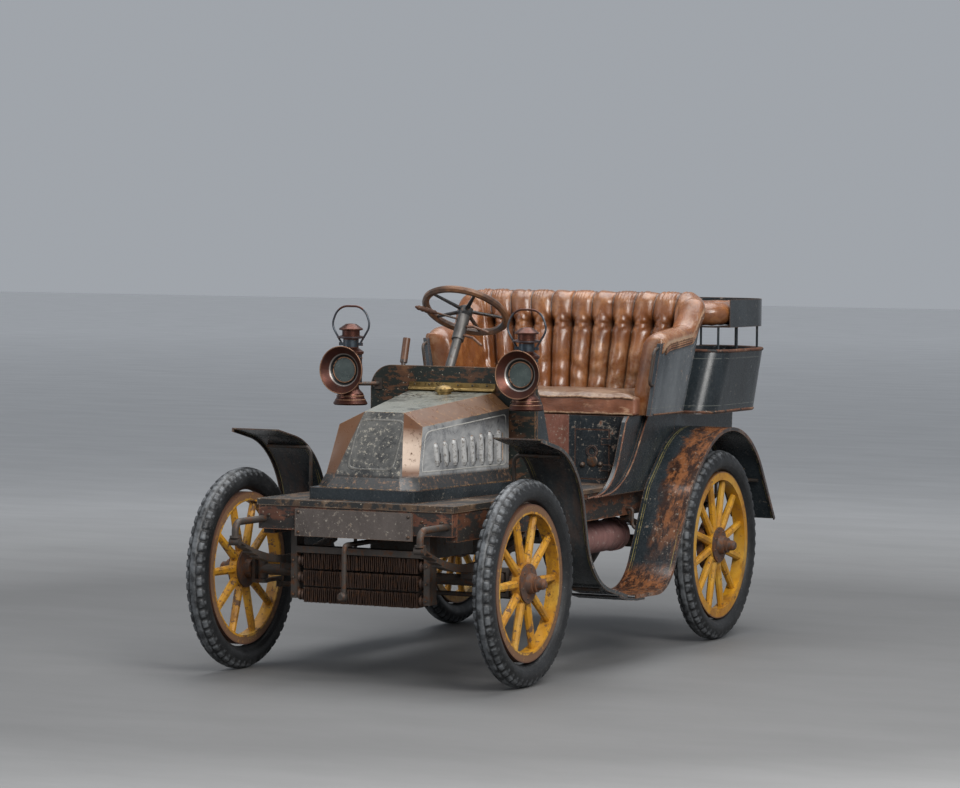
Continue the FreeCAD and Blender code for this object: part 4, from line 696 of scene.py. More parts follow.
def rounded(points, low, high, size, lift):
    # crown: the top swells towards the middle and its border draws in; what rests below stays flat
    inside = np.minimum(points[:, :2] - low[:2], high[:2] - points[:, :2]).min(1)
    upper = softStep(points[:, 2], low[2] + 0.4 * (high[2] - low[2]), high[2])
    points = points.copy()
    points[:, 2] += upper * lift * (softStep(inside, 0, size) - 0.75)
    rng = np.random.default_rng(11)
    for a, b, c in zip(rng.uniform(-40, 40, 9), rng.uniform(-40, 40, 9), rng.uniform(0, 6, 9)):
        points[:, 2] += upper * 0.0007 * np.sin(a * points[:, 0] + b * points[:, 1] + c)
        points[:, 1] -= (1 - upper) * 0.0006 * np.sin(a * points[:, 0] + 2 * b * points[:, 2] + c)
    points[:, 2] = np.maximum(points[:, 2], low[2] + 0.0003)
    return points


points, faces, low, high = inflated("seat_cushion")
points = rounded(points, low, high, loose["crown"], loose["lift"])
frontTop = points[:, 1] < low[1] + 0.05
onTop = softStep(points[:, 2], high[2] - 0.022, high[2] - 0.012)
marks = {"seamAndShade": hump(points[:, 2] - high[2] + loose["seamDrop"], loose["seamWide"]) * frontTop, "top": onTop,
         "rubbed": onTop * (0.55 + 0.45 * (1 - softStep(points[:, 1], low[1] + 0.12, low[1] + 0.3)))}


def makeCushionLook():  # pale worn hide above, red-brown border below
    f = Finish("cushionLeather", Specular_IOR_Level=0.5, Coat_Weight=0.1, Coat_Roughness=0.3)
    clouds = f.noise(6, 7, 0.7, warp=0.8)
    border = f.blend(clouds, 0.3, 0.7, (0.1, 0.036, 0.02), (0.27, 0.105, 0.055))
    border = f.mix(f.patches(0.56, 0.66, 24, 7, 0.7, (0.4, 1, 1)), border, (0.4, 0.24, 0.15))
    upper = f.blend(clouds, 0.3, 0.7, (0.075, 0.034, 0.018), (0.16, 0.085, 0.046))
    upper = f.mix(f.mark("rubbed") * f.patches(0.5, 0.72, 13, 8, 0.75, warp=1), upper, (0.27, 0.185, 0.115))
    f.tone = f.mix(f.mark("top"), border, upper)
    web = f.cracks(110)
    broken = f.level(web, 0.06, 0) * f.patches(0.4, 0.6, 7, 5)
    f.coat(broken * 0.5, (0.06, 0.03, 0.02))
    f.coat(f.mark("seamAndShade") * 0.8, (0.03, 0.014, 0.01))
    high = f.noise(28, 7, 0.7, (0.5, 1, 1), warp=1.5) + broken * -0.4
    return f.done(f.level(clouds, 0.3, 0.7, (0.26, 0.5)), high, 0.0022, 0.7)


cushionLook = makeCushionLook()
cushion = meshPiece("seatCushion", points, faces, cushionLook, "car", "leather", marks)
cushion.modifiers.new("finer", "SUBSURF").render_levels = 1
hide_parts("seat_cushion")


def edgePath(points, towards, half, count=90):
    # the outermost point towards a direction in each slice across the cushion, smoothed along the edge
    spots = np.linspace(-half, half, count)
    near = np.abs(points[None, :, 0] - spots[:, None]) < 0.008
    best = np.where(near, points @ np.asarray(towards, float), -9).argmax(1)
    line = points[best].copy()
    line[:, 0] = spots
    kernel = np.ones(7) / 7
    for axis in range(3):
        line[3:-3, axis] = np.convolve(line[:, axis], kernel, "valid")
    return line


piping = []
for towards, drop in (((0, -1.6, 1), 0.0), ((0, -1.6, -1), 0.001)):
    line = edgePath(points, towards, high[0] - 0.014)
    line[:, 1] -= 0.0015
    line[:, 2] += drop + 0.0008 * np.sin(line[:, 0] * 70)
    piping.append(tube(line, loose["piping"]))
meshPiece("cushionPiping", *merge(piping), pipingLook, "car", "leather")

points, faces, low, high = inflated("tonneau_cushions")
left = points[:, 0] > 0
for side in (left, ~left):
    part = points[side]
    points[side] = rounded(part, part.min(0), part.max(0), loose["benchCrown"], loose["benchLift"])
onTop = softStep(points[:, 2], high[2] - 0.02, high[2] - 0.01)
marks = {"seamAndShade": hump(points[:, 2] - high[2] + loose["benchSeamDrop"], loose["seamWide"]), "rubbed": onTop * 0.6,
         "top": onTop}
benches = meshPiece("tonneauCushions", points, faces, cushionLook, "car", "leather", marks)
benches.modifiers.new("finer", "SUBSURF").render_levels = 1
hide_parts("tonneau_cushions")
print("cushions filled")

padRail = {"radius": 0.0495, "taper": 0.022, "sides": 28, "seamAt": 21, "frontX": 0.24, "rearX": 0.226,
           "frontBend": 0.062, "rearBend": 0.19, "steps": 26}


def bentLine(corners, steps):  # straight runs and arcs through (x, y, radius) corners, evenly respaced
    path = [np.array(corners[0][:2])]
    for i in range(1, len(corners) - 1):
        a, b, c = (np.array(corners[k][:2]) for k in (i - 1, i, i + 1))
        back, on = (a - b) / np.linalg.norm(a - b), (c - b) / np.linalg.norm(c - b)
        bend = np.arccos(np.clip(back @ on, -1, 1))
        reach = corners[i][2] / np.tan(bend / 2)
        centre = b + (back + on) / np.linalg.norm(back + on) * corners[i][2] / np.sin(bend / 2)
        first, last = b + back * reach - centre, b + on * reach - centre
        t = np.linspace(0, 1, steps)[:, None]
        arc = first * np.sin((1 - t) * (pi - bend)) + last * np.sin(t * (pi - bend))
        path.extend(centre + arc / np.sin(pi - bend))
    path.append(np.array(corners[-1][:2]))
    path = np.array(path)
    gone = np.concatenate([[0], np.cumsum(np.linalg.norm(np.diff(path, axis=0), axis=1))])
    keep = np.concatenate([[True], np.diff(gone) > 1e-6])
    path, gone = path[keep], gone[keep]
    even = np.linspace(0, gone[-1], int(gone[-1] / 0.006))
    return np.stack([np.interp(even, gone, path[:, 0]), np.interp(even, gone, path[:, 1])], 1), even


padLow, padHigh = (np.array(c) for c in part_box("rail_pads"))
halfPad, rearPad, frontPad = padHigh[0] - 0.05, padHigh[1] - 0.05, padLow[1] + 0.05
line, gone = bentLine([(padRail["frontX"], frontPad, 0), (halfPad, frontPad, padRail["frontBend"]),
                       (halfPad, rearPad, padRail["rearBend"]), (padRail["rearX"], rearPad, 0)], padRail["steps"])
ends = np.maximum(quarterRound(np.minimum(gone, gone[-1] - gone) / padRail["taper"]), 0.03)
folds = 0.0011 * np.sin(gone * 95 + 2 * np.sin(gone * 23)) + 0.0012 * np.sin(gone * 31)
path = np.concatenate([line, np.full((len(line), 1), (padLow[2] + padHigh[2]) / 2)], 1)
rolls = []
for side in (1, -1):
    shape, faces = tube(path * [side, 1, 1], (padRail["radius"] + folds - 0.0023) * ends, padRail["sides"])
    rolls.append((shape, faces if side == 1 else faces[:, ::-1]))
shape, faces = merge(rolls)
seamAt = np.tile(hump(np.arange(padRail["sides"]) - padRail["seamAt"], 0.7), len(path) * 2)
zero = np.zeros(len(shape))
marks = {"seamAndShade": seamAt * 0.6, "proud": zero + 0.5, "rubbed": zero + 0.25, "edge": zero}
rail = meshPiece("railPads", shape, faces, seatLeather, "car", "leather", marks)
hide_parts("rail_pads")
print("rail padded")


# ---- bonnet ----

bonnetTone = {"front": (0.026, 0.027, 0.028), "frontWorn": (0.115, 0.112, 0.104), "strip": (0.5, 0.39, 0.31),
              "stripEnd": (0.12, 0.052, 0.024), "shoulder": (0.095, 0.045, 0.02), "top": (0.2, 0.205, 0.18),
              "side": (0.085, 0.088, 0.094), "sideWorn": (0.33, 0.33, 0.325), "line": (0.38, 0.37, 0.34),
              "ochre": (0.36, 0.19, 0.06), "dark": (0.018, 0.017, 0.016)}


bonnetLines = {"foot": 0.756, "frontHalf": 0.1385, "frontLean": 0.25, "sideFrom": -1.112, "sideLean": 0.38,
               "ventLow": 0.765, "ventTop": 0.912, "ventFront": -1.0175, "ventRear": -0.5425, "skirtTop": 0.757,
               "sideBead": (0.772, 0.915, -0.505), "beadRise": 0.084, "frontBead": (0.778, 0.955, 0.094)}


def makeBonnetLook():
    # the panels meet along straight lines, so each is told by its side of those lines and by how steep it is; a bead
    # line follows the front and side panels, where the smallest of the distances to their borders is constant
    f = Finish("bonnetLook", Specular_IOR_Level=0.5)
    c, e = bonnetTone, bonnetLines
    faceX, faceY, faceZ = (f.along(axis, f.normal) for axis in "XYZ")
    x, y, z = abs(f.along("X")), f.along("Y"), f.along("Z")
    steep = f.past(faceZ, 0.59, -0.03)
    slant = y - (z - e["foot"]) * e["sideLean"] - e["sideFrom"]
    front = f.past(x + (z - e["foot"]) * e["frontLean"], e["frontHalf"], -0.001) * steep
    vents = (f.past(z, e["ventLow"], 0.003) * f.past(z, e["ventTop"], -0.003)
             * (f.past(y, e["ventFront"], 0.0025) * f.past(y, e["ventRear"], -0.0025)))
    side = f.past(slant, -0.024, 0.002) * steep * f.most(vents, f.past(abs(faceX), 0.89, 0.03))
    top = f.past(faceZ, 0.96, 0.01)
    shoulder = f.past(faceZ, 0.65, 0.05) * (1.0 - top)
    clouds, fine = f.noise(9, 7, 0.7, warp=0.7), f.noise(70, 7, 0.75)
    strip = f.blend(z, 0.8, 0.77, c["strip"], c["stripEnd"])
    strip = f.blend(z + clouds * 0.06, 0.9, 0.96, strip, c["stripEnd"])
    strip = f.blend(fine, 0.56, 0.66, strip, tuple(0.6 * v for v in c["stripEnd"]))
    strip = f.blend(f.along("X"), 0.02, -0.02, strip, f.mix(clouds, c["stripEnd"], c["shoulder"]))
    ridge = f.blend(clouds, 0.35, 0.65, c["stripEnd"], c["shoulder"])
    ridge = f.blend(y, -0.95, -0.7, ridge, c["shoulder"])
    f.tone = f.mix(shoulder, strip, f.blend(fine, 0.58, 0.66, ridge, c["ochre"]))
    plain = f.blend(clouds, 0.35, 0.7, c["front"], c["frontWorn"])
    plain = f.blend(fine, 0.55, 0.61, plain, (0.26, 0.24, 0.2))
    plain = f.mix(f.patches(0.6, 0.66, 26, 8, 0.8, shift=(4, 0, 6)), plain, (0.012, 0.011, 0.011))
    f.coat(front, plain)
    scroll = f.node("TexWave", {"Vector": f.coords, "Scale": 16.0, "Distortion": 14.0, "Detail": 3.0,
                                "Detail Scale": 1.6}, "Fac", wave_type="RINGS")
    rear = f.level(y, -0.8, -0.62) * f.patches(0.42, 0.52, 14, 5)
    lid = f.blend(clouds, 0.3, 0.7, c["top"], tuple(0.72 * v for v in c["top"]))
    lid = f.mix(f.level(scroll, 0.45, 0.2) * rear, lid, c["dark"])
    lid = f.mix(f.patches(0.5, 0.62, 7, 6, 0.75, shift=(2, 2, 7)), lid, tuple(0.3 * v for v in c["top"]))
    lid = f.blend(fine, 0.6, 0.66, lid, (0.34, 0.3, 0.24))
    f.coat(top, lid)
    flank = f.blend(clouds, 0.32, 0.66, c["side"], c["sideWorn"])
    flank = f.blend(fine, 0.62, 0.68, flank, (0.36, 0.34, 0.31))
    smudge = f.level(z - f.noise(12, 5) * 0.09, 0.865, 0.9) * f.level(y, -0.86, -0.7)
    flank = f.mix(smudge * 0.8, flank, c["dark"])
    f.coat(side, flank)
    low, high, back = e["sideBead"]
    under = high + (y + 1.067) * e["beadRise"] - z
    inside = f.calc("SMOOTH_MIN", f.calc("SMOOTH_MIN", slant, under, 0.05), z - low, 0.02)
    inside = f.calc("SMOOTH_MIN", inside, back - y, 0.03)
    sideLine = band(f, inside, 0.0, 0.0026) * side
    low, high, half = e["frontBead"]
    within = f.calc("SMOOTH_MIN", f.calc("SMOOTH_MIN", half - x, high - z, 0.05), z - low, 0.05)
    frontLine = band(f, within, 0.0, 0.004) * front
    f.coat(sideLine * f.level(fine, 0.3, 0.5), c["line"])
    f.coat(frontLine * 0.35, (0.16, 0.15, 0.13))
    # painted light on the louvres: a painted highlight on the sides that face forwards, towards the key light, and
    # painted shade on the sides that face rearwards
    louvreShade = vents * f.level(faceY, -0.1, 0.02)
    louvreHighlight = vents * f.level(faceY, -0.34, -0.52)
    f.coat(louvreHighlight, f.blend(fine, 0.5, 0.62, (0.34, 0.34, 0.335), (0.1, 0.085, 0.07)))
    f.coat(louvreShade, c["dark"])
    skirt = f.blend(fine, 0.54, 0.62, (0.022, 0.022, 0.022), (0.15, 0.085, 0.05))
    f.coat(f.past(z, e["skirtTop"], -0.005), skirt)
    rim = f.edges(0.0045, 0.12) * (1.0 - vents)
    f.coat(rim * f.level(fine, 0.46, 0.56), c["ochre"])
    chips = f.level(f.noise(40, 8, 0.75, shift=(1, 5, 2)) + rim * 0.12, 0.7, 0.72)
    f.coat(chips, f.mix(f.noise(20), (0.14, 0.07, 0.035), (0.04, 0.03, 0.02)))
    high = frontLine * 1.6 + sideLine * 0.8 + f.noise(16, 5) * 0.5 - chips * 0.3
    rough = f.level(clouds, 0.3, 0.7, (0.2, 0.42)) + f.most(louvreShade, chips) * 0.3
    return f.done(rough, high, 0.0016, 0.8)


wear(makeBonnetLook(), "bonnet")

# ---- lamps and glass ----

lampAxis = {"x": 0.373, "y": -0.5985, "z": 1.12}
lampParts = {"bell": -0.0415, "drumHalf": 0.058, "cap": (0.087, 0.115), "wireFar": 0.0535, "wireLow": 0.105,
             "mouthRing": 0.06325, "mouthGlass": 0.05875}


def makeLampLook():
    # copper bell and base, dark blued drum and chimney band; the parts are told by height and distance from the axis
    f = Finish("lampLook", Metallic=0.75)
    x = abs(f.along("X")) - lampAxis["x"]
    y = f.along("Y") - lampAxis["y"]
    z = f.along("Z") - lampAxis["z"]
    p = lampParts
    bell = f.past(y, p["bell"], -0.0015)
    clouds, spots = f.noise(14, 6, 0.7), f.noise(80, 7, 0.75)
    copper = f.blend(clouds, 0.3, 0.7, (0.095, 0.03, 0.018), (0.042, 0.017, 0.013))
    copper = f.blend(spots, 0.56, 0.66, copper, (0.05, 0.03, 0.026))
    blued = f.blend(clouds, 0.3, 0.7, (0.03, 0.04, 0.052), (0.07, 0.085, 0.1))
    blued = f.blend(spots, 0.6, 0.68, blued, (0.2, 0.12, 0.08))
    drum = f.past(abs(z), p["drumHalf"], -0.001) * (1.0 - bell)
    cap = f.past(z, p["cap"][0], 0.001) * f.past(z, p["cap"][1], -0.001)
    wire = f.past(f.apart(x, y), p["wireFar"], 0.0015) * f.past(z, p["wireLow"], 0.005)
    f.tone = f.mix(f.most(drum, cap, wire), copper, blued)
    ring, mouth = f.apart(x, z), bell * f.past(f.along("Y", f.normal), -0.15, -0.05)
    f.coat(mouth * f.past(ring, p["mouthRing"], -0.00075), (0.3, 0.27, 0.25))
    f.coat(mouth * f.past(ring, p["mouthGlass"], -0.00075), (0.022, 0.026, 0.027))
    f.coat(f.edges(0.003, 0.15) * 0.65, (0.22, 0.11, 0.075))
    high = spots * 0.5 + f.noise(20, 4)
    return f.done(f.level(clouds, 0.3, 0.7, (0.26, 0.46)), high, 0.0008, 0.5)


wear(makeLampLook(), "lamp_bodies")
f = Finish("lampGlassLook", Specular_IOR_Level=0.8, Coat_Weight=0.6, Coat_Roughness=0.06)
f.tone = f.mix(f.patches(0.3, 0.7, 16, 5), (0.018, 0.03, 0.027), (0.055, 0.075, 0.068))
f.coat(f.patches(0.62, 0.7, 140, 4), (0.16, 0.17, 0.16))
glassLook = f.done(f.level(f.noise(30, 5), 0.3, 0.7, (0.08, 0.3)), f.noise(9), 0.0006, 0.2)
wear(glassLook, "lamp_glasses")

# ---- silencer, steering wheel ----

f = Finish("silencerLook", Specular_IOR_Level=0.4)
bands = f.noise(20, 7, 0.7, (1, 0.9, 0.12))
f.tone = f.blend(bands, 0.35, 0.65, (0.3, 0.155, 0.145), (0.16, 0.085, 0.078))
f.coat(f.patches(0.56, 0.64, 46, 7, 0.7), (0.36, 0.27, 0.25))
lowY, highY = (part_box("silencer")[k][1] for k in (0, 1))
y = f.along("Y")
endCaps = f.most(f.past(y, lowY + 0.025, -0.003), f.past(y, highY - 0.025, 0.003))
f.coat(endCaps, f.mix(f.patches(0.5, 0.65, 30, 6), (0.02, 0.018, 0.017), (0.12, 0.06, 0.035)))
wear(f.done(f.level(bands, 0.3, 0.7, (0.45, 0.7)), f.noise(60, 7), 0.0007, 0.6), "silencer")

wheelLow, wheelHigh = (np.array(c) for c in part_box("steering_wheel"))


def makeRimLook():  # bent wood rim with worn varnish, black spokes inside it
    f = Finish("rimLook", Specular_IOR_Level=0.5, Coat_Weight=0.3, Coat_Roughness=0.2)
    middle = (wheelLow + wheelHigh) / 2
    spot = f.node("Mapping", {0: f.coords, 1: tuple(-middle)})
    far = f.node("VectorMath", {0: spot}, "Value", operation="LENGTH")
    grain = f.noise(30, 7, 0.7)
    wood = f.blend(grain, 0.3, 0.7, (0.055, 0.024, 0.012), (0.19, 0.085, 0.036))
    wood = f.mix(f.patches(0.48, 0.62, 8, 5, shift=(3, 3, 3)), wood, (0.024, 0.014, 0.01))
    iron = f.mix(f.patches(0.55, 0.68, 60, 6), (0.018, 0.018, 0.018), (0.13, 0.07, 0.04))
    f.tone = f.blend(far, 0.15, 0.154, iron, wood)
    return f.done(f.level(grain, 0.3, 0.7, (0.25, 0.48)), grain, 0.0006, 0.4)


wear(makeRimLook(), "steering_wheel")
f = Finish("leverLook", Specular_IOR_Level=0.5)
grain = f.noise(60, 7, 0.7, (1, 1, 0.3))
grip = f.blend(grain, 0.3, 0.7, (0.045, 0.018, 0.01), (0.15, 0.065, 0.03))
iron = f.mix(f.patches(0.5, 0.62, 70, 7, 0.7), (0.035, 0.03, 0.028), (0.14, 0.065, 0.035))
f.tone = f.mix(f.past(f.along("Z"), 1.142, 0.002), iron, grip)
wear(f.done(f.level(grain, 0.3, 0.7, (0.3, 0.55)), grain, 0.0005, 0.4), "control_levers")
print("bonnet, lamps and controls finished")

# ---- radiator fins ----

finLook = {"rows": 3, "pitch": 0.0084, "across": 56, "size": 0.056, "thick": 0.0013, "grid": 6, "warp": 0.0022,
           "lean": 0.0034, "pipe": 0.0145}
tubeLow, tubeHigh = (np.array(c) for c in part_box("radiator_tubes"))
middleY = (tubeLow[1] + tubeHigh[1]) / 2
rowsAt = np.linspace(tubeLow[2] + finLook["size"] / 2, tubeHigh[2] - finLook["size"] / 2, finLook["rows"])


def finPlates():
    # every fin is a small plate bent by its own cubic wave, two faces and a rim as one closed ring of points
    p = finLook
    rng = np.random.default_rng(7)
    u = np.linspace(-1, 1, p["grid"])
    a, b = np.meshgrid(u, u, indexing="ij")
    faces = gridFaces(p["grid"], p["grid"])
    back = faces[:, ::-1] + p["grid"] ** 2
    ring = np.concatenate([np.arange(p["grid"]), np.arange(1, p["grid"]) * p["grid"] + p["grid"] - 1,
                           p["grid"] ** 2 - 1 - np.arange(1, p["grid"]), np.arange(p["grid"] - 2, 0, -1) * p["grid"]])
    after = np.roll(ring, -1)
    sides = np.stack([ring, ring + p["grid"] ** 2, after + p["grid"] ** 2, after], -1)
    one = np.concatenate([faces, back, sides])
    parts = []
    for z in rowsAt:
        for i in range(p["across"]):
            k = rng.normal(0, 1, 6)
            lean = p["warp"] * (0.5 * (k[0] * a + k[1] * b + k[2] * a * b) + 0.25 * k[3] * np.sin(3 * b + k[4]))
            x = (i - (p["across"] - 1) / 2) * p["pitch"] + np.clip(lean, -p["lean"], p["lean"])
            size = p["size"] / 2 - 0.0008 * abs(k[5])
            plates = [np.stack([x + side * p["thick"] / 2, middleY + a * (size - 0.001), z + b * size], -1)
                      for side in (1, -1)]
            parts.append((np.stack(plates), one))
    for z in rowsAt:
        path = np.stack([np.linspace(tubeLow[0], tubeHigh[0], 40), np.full(40, middleY), np.full(40, z)], -1)
        parts.append(tube(path, p["pipe"], 12))
    return merge(parts)


finIron = makeMetal("finIron", (0.085, 0.05, 0.036), (0.04, 0.026, 0.021), (0.15, 0.07, 0.035), 0.35, 0.54, (0.5, 0.75))
points, faces = finPlates()
fins = meshPiece("radiatorFins", points, faces, finIron, "car", "radiator_brown", smooth=False)
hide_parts("radiator_tubes")
print("radiator finned")


# ---- mouldings, beads, bolts and rivets ----

trim = {"moulding": 0.0075, "bead": 0.0034, "rivet": 0.0042, "bolt": 0.0065}
mouldWood = makeWood("mouldWood", (0.15, 0.06, 0.032), (0.34, 0.19, 0.11), (0.05, 0.022, 0.014), (0.4, 0.4, 1),
                     (0.02, 0.02, 0.02), 0.35)
beadLook = makeMetal("beadLook", (0.3, 0.16, 0.09), (0.16, 0.08, 0.05), (0.05, 0.03, 0.02), 0.5, 0.58, (0.35, 0.6))
boltIron = makeMetal("boltIron", (0.1, 0.075, 0.06), (0.05, 0.038, 0.03), (0.17, 0.075, 0.035), 0.6, 0.52, (0.35, 0.6))
dullRivet = makeMetal("dullRivet", (0.1, 0.075, 0.04), (0.05, 0.04, 0.03), (0.22, 0.13, 0.05), 0.7, 0.55, (0.35, 0.55))


def lay(name, parts, look, body, slot):  # several strips or studs become one piece
    meshPiece(name, *merge(parts), look, body, slot)


def shellPath(low, high, share, inset, count=40):  # a line up the seat shell at one place along its plan
    z = np.linspace(low, high, count) + frameLow[2]
    return np.stack((*shellLine(np.full(count, share), inset, z), z), -1)


def bothSides(path):  # the path and its mirror image
    return [path * [side, 1, 1] for side in (1, -1)]


def circle(axis, count=48):  # a unit circle round the Y or the Z axis
    t = np.linspace(0, 2 * pi, count, endpoint=False)
    return np.stack([np.cos(t), 0 * t, np.sin(t)] if axis == "Y" else [np.cos(t), np.sin(t), 0 * t], -1)


# the tub's rim and foot: a half-buried round moulding along each, left open at the rear door
tubTrim = {"rearBend": 0.208, "frontBend": 0.098, "front": 0.8665, "gap": 0.004, "footFront": 0.7955, "footIn": 0.031,
           "footRear": 0.019, "footDrop": 0.25}
tubHigh = np.array(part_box("tonneau_body")[1])
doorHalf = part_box("tonneau_door")[1][0] + tubTrim["gap"]
rimHalf, rimRear, rimZ = tubHigh - [0.003, 0.003, 0.004]
runs = []
for half, rear, nose, z, thick in (
        (rimHalf, rimRear, tubTrim["front"], rimZ, trim["moulding"]),
        (rimHalf - tubTrim["footIn"], rimRear - tubTrim["footRear"], tubTrim["footFront"], rimZ - tubTrim["footDrop"],
         trim["moulding"] * 0.8)):
    line, gone = bentLine([(doorHalf, rear, 0), (half, rear, tubTrim["rearBend"]), (half, nose, tubTrim["frontBend"]),
                           (-half, nose, tubTrim["frontBend"]), (-half, rear, tubTrim["rearBend"]),
                           (-doorHalf, rear, 0)], 24)
    path = np.concatenate([line, z + 0.0006 * np.sin(gone * 14)[:, None]], 1)
    runs.append(tube(path, thick * np.clip(np.minimum(gone, gone[-1] - gone) / 0.004, 0.1, 1), 10))
lay("tubMouldings", runs, mouldWood, "car", "frame_wood")

# copper beads where the seat's side meets its back and along its foot
seatTrim = {"corner": 0.232, "cornerHigh": 0.318, "armHigh": 0.265, "foot": 0.0045}
beads = [tube(shellPath(0.004, seatTrim["cornerHigh"], share, -0.0006), trim["bead"], 8)
         for share in (seatTrim["corner"], 1 - seatTrim["corner"])]
x, y = shellLine(np.linspace(0.003, 0.997, 260), -0.0004, frameLow[2] + 0.004)
beads.append(tube(np.stack([x, y, 0 * x + frameLow[2] + seatTrim["foot"]], -1), trim["bead"], 8))
beads += [tube(shellPath(0.01, seatTrim["armHigh"], share, 0.008) - [0, 0.001, 0], trim["bead"] * 1.5, 8)
          for share in (0.0, 1.0)]
lay("seatBeads", beads, beadLook, "car", "body_paint")

# worn layered edging below the arm's roll: (drop, outwards, radius) of each layer
layers = ((0.009, 0.0, 0.0036), (0.017, -0.001, 0.0042), (0.026, -0.0015, 0.003))
rimLine = rim[rim[:, 1] < frameHigh[1] - 0.1]
edging = [tube(rimLine[rimLine[:, 0] * side > 0] + [side * out, 0, -drop], thick, 8)
          for side in (1, -1) for drop, out, thick in layers]
lay("armEdging", edging, mouldWood, "car", "leather")

# worn beads round the step-in, along the front edges of the two side boards, drawn in (y, z)
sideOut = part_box("body_sides")[1][0]
sweep = {"outer": [(-0.1005, 0.626, 0), (0.1995, 0.632, 0.42), (0.4295, 0.927, 0)],
         "inner": [(-0.1305, 0.623, 0), (0.1195, 0.639, 0.24), (0.2395, 0.905, 0.02), (0.2655, 0.927, 0)]}
edges = []
for key, out in (("outer", sideOut - 0.001), ("inner", sideOut - 0.015)):
    line, gone = bentLine(sweep[key], 40)
    thick = trim["bead"] + 0.0006 * np.sin(gone * 60)
    path = np.concatenate([np.full((len(line), 1), out), line], 1)
    edges += [tube(mirrored, thick, 8) for mirrored in bothSides(path)]
lay("sweepBeads", edges, mouldWood, "car", "frame_wood")

# locker furniture: two knobs and a mushroom-shaped escutcheon
locker = {"knob": (0.011, 0.012), "shield": (0.024, 0.004), "shieldUp": 0.016, "fromFoot": 0.055}
doorLow, doorHigh = (np.array(c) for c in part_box("locker_door"))
place = np.array([(doorLow[0] + doorHigh[0]) / 2 - 0.004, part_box("seat_box")[0][1] - 0.0035,
                  doorLow[2] + locker["fromFoot"]])
knobs = [domes([place - [0.042, 0, 0], place + [0.036, 0, 0.004]], (0, -1, 0), *locker["knob"], 14),
         domes([place + [0, 0, locker["shieldUp"]]], (0, -1, 0), *locker["shield"], 20)]
lay("lockerKnobs", knobs, boltIron, "locker_door", "black_iron")

# thin rings round the lamps' glasses and steps on their bases: (radius, height) of each step
lampSteps = ((0.0635, -0.13), (0.0575, -0.116), (0.0525, -0.101), (0.0475, 0.0665), (0.0445, -0.052), (0.0445, 0.045))
glassLow, glassHigh = (np.array(c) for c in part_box("lamp_glasses"))
rings = []
for side in (1, -1):
    middle = np.array([side * lampAxis["x"], glassLow[1] - 0.001, (glassLow[2] + glassHigh[2]) / 2])
    rings.append(tube(middle + circle("Y") * ((glassHigh[2] - glassLow[2]) / 2 - 0.001), 0.0024, 8, True))
    rings.append(tube(middle + [0, -0.03, 0] + circle("Y") * 0.0905, 0.002, 8, True))
    for r, up in lampSteps:
        middle = np.array([side * lampAxis["x"], lampAxis["y"], lampAxis["z"] + up])
        rings.append(tube(middle + circle("Z") * r, 0.0022, 8, True))
lay("lampRings", rings, beadLook, "car", "lamp_copper")

# bolts and rivets
stripLow, stripHigh = (np.array(c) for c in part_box("dash_strip"))
across = np.linspace(stripLow[0] + 0.03, stripHigh[0] - 0.03, 6)
spots = [(x, stripLow[1] - 0.0002, stripHigh[2] - 0.009) for x in across]
lay("stripRivets", [domes(spots, (0, -1, 0), trim["rivet"] * 1.2, 0.003)], dullRivet, "car", "steel")
stripBead = np.linspace([stripLow[0] + 0.002, stripLow[1], stripLow[2] + 0.005],
                        [stripHigh[0] - 0.002, stripLow[1], stripLow[2] + 0.005], 30)
lay("stripBead", [tube(stripBead, 0.0036, 8)], oldBrass, "car", "brass")

plateLow, plateHigh = (np.array(c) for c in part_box("number_plate"))
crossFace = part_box("cross_members")[0][1]
radLow, radHigh = (np.array(c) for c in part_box("radiator_frame"))
frontBolts, radBolts = [], []
for side in (1, -1):
    frontBolts += [(side * (plateHigh[0] + out), crossFace, plateHigh[2] - 0.03) for out in (0.035, 0.115)]
    frontBolts += [(side * (plateHigh[0] - 0.014), plateLow[1], plateHigh[2] - drop) for drop in (0.014, 0.088)]
    radBolts += [(side * (radHigh[0] - 0.012), radLow[1], z) for z in (*rowsAt, radHigh[2] - 0.014)]
lay("frontBolts", [domes(frontBolts, (0, -1, 0), trim["bolt"], 0.005, 12), domes(radBolts, (0, -1, 0), 0.0052, 0.004)],
    boltIron, "car", "black_iron")

# (distance from the middle, radius) along each collar where the tubes leave the radiator's sides
collar = np.array([(0.2345, 0.001), (0.2395, 0.021), (0.24, 0.0235), (0.247, 0.0235), (0.2475, 0.0175),
                   (0.256, 0.0175), (0.2565, 0.022), (0.2618, 0.022)])
collars = []
for z in rowsAt:
    path = np.stack([collar[:, 0], np.full(len(collar), middleY), np.full(len(collar), z)], -1)
    collars += [tube(mirrored, collar[:, 1], 18) for mirrored in bothSides(path)]
lay("tubeCollars", collars, finIron, "car", "radiator_brown")

hubBolt = {"size": 0.0052, "high": 0.005, "front": (0.056, 6), "rear": (0.058, 8)}  # ring radius and number per end
for end in ("front", "rear"):
    ring, bolts = hubBolt[end]
    turns = np.arange(bolts) * 2 * pi / bolts + 0.3
    for side, name in ((1, "left"), (-1, "right")):
        low, high = (np.array(c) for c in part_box(f"{end}_{name}_hub"))
        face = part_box(f"{end}_{name}_wheel")[1 if side > 0 else 0][0] - side * 0.003
        middle = (low + high) / 2
        spots = [(face, middle[1] + ring * np.cos(t), middle[2] + ring * np.sin(t)) for t in turns]
        lay(f"hubBolts.{end}.{name}", [domes(spots, (side, 0, 0), hubBolt["size"], hubBolt["high"])], boltIron,
            f"{end}_{name}_wheel", "hub_iron")

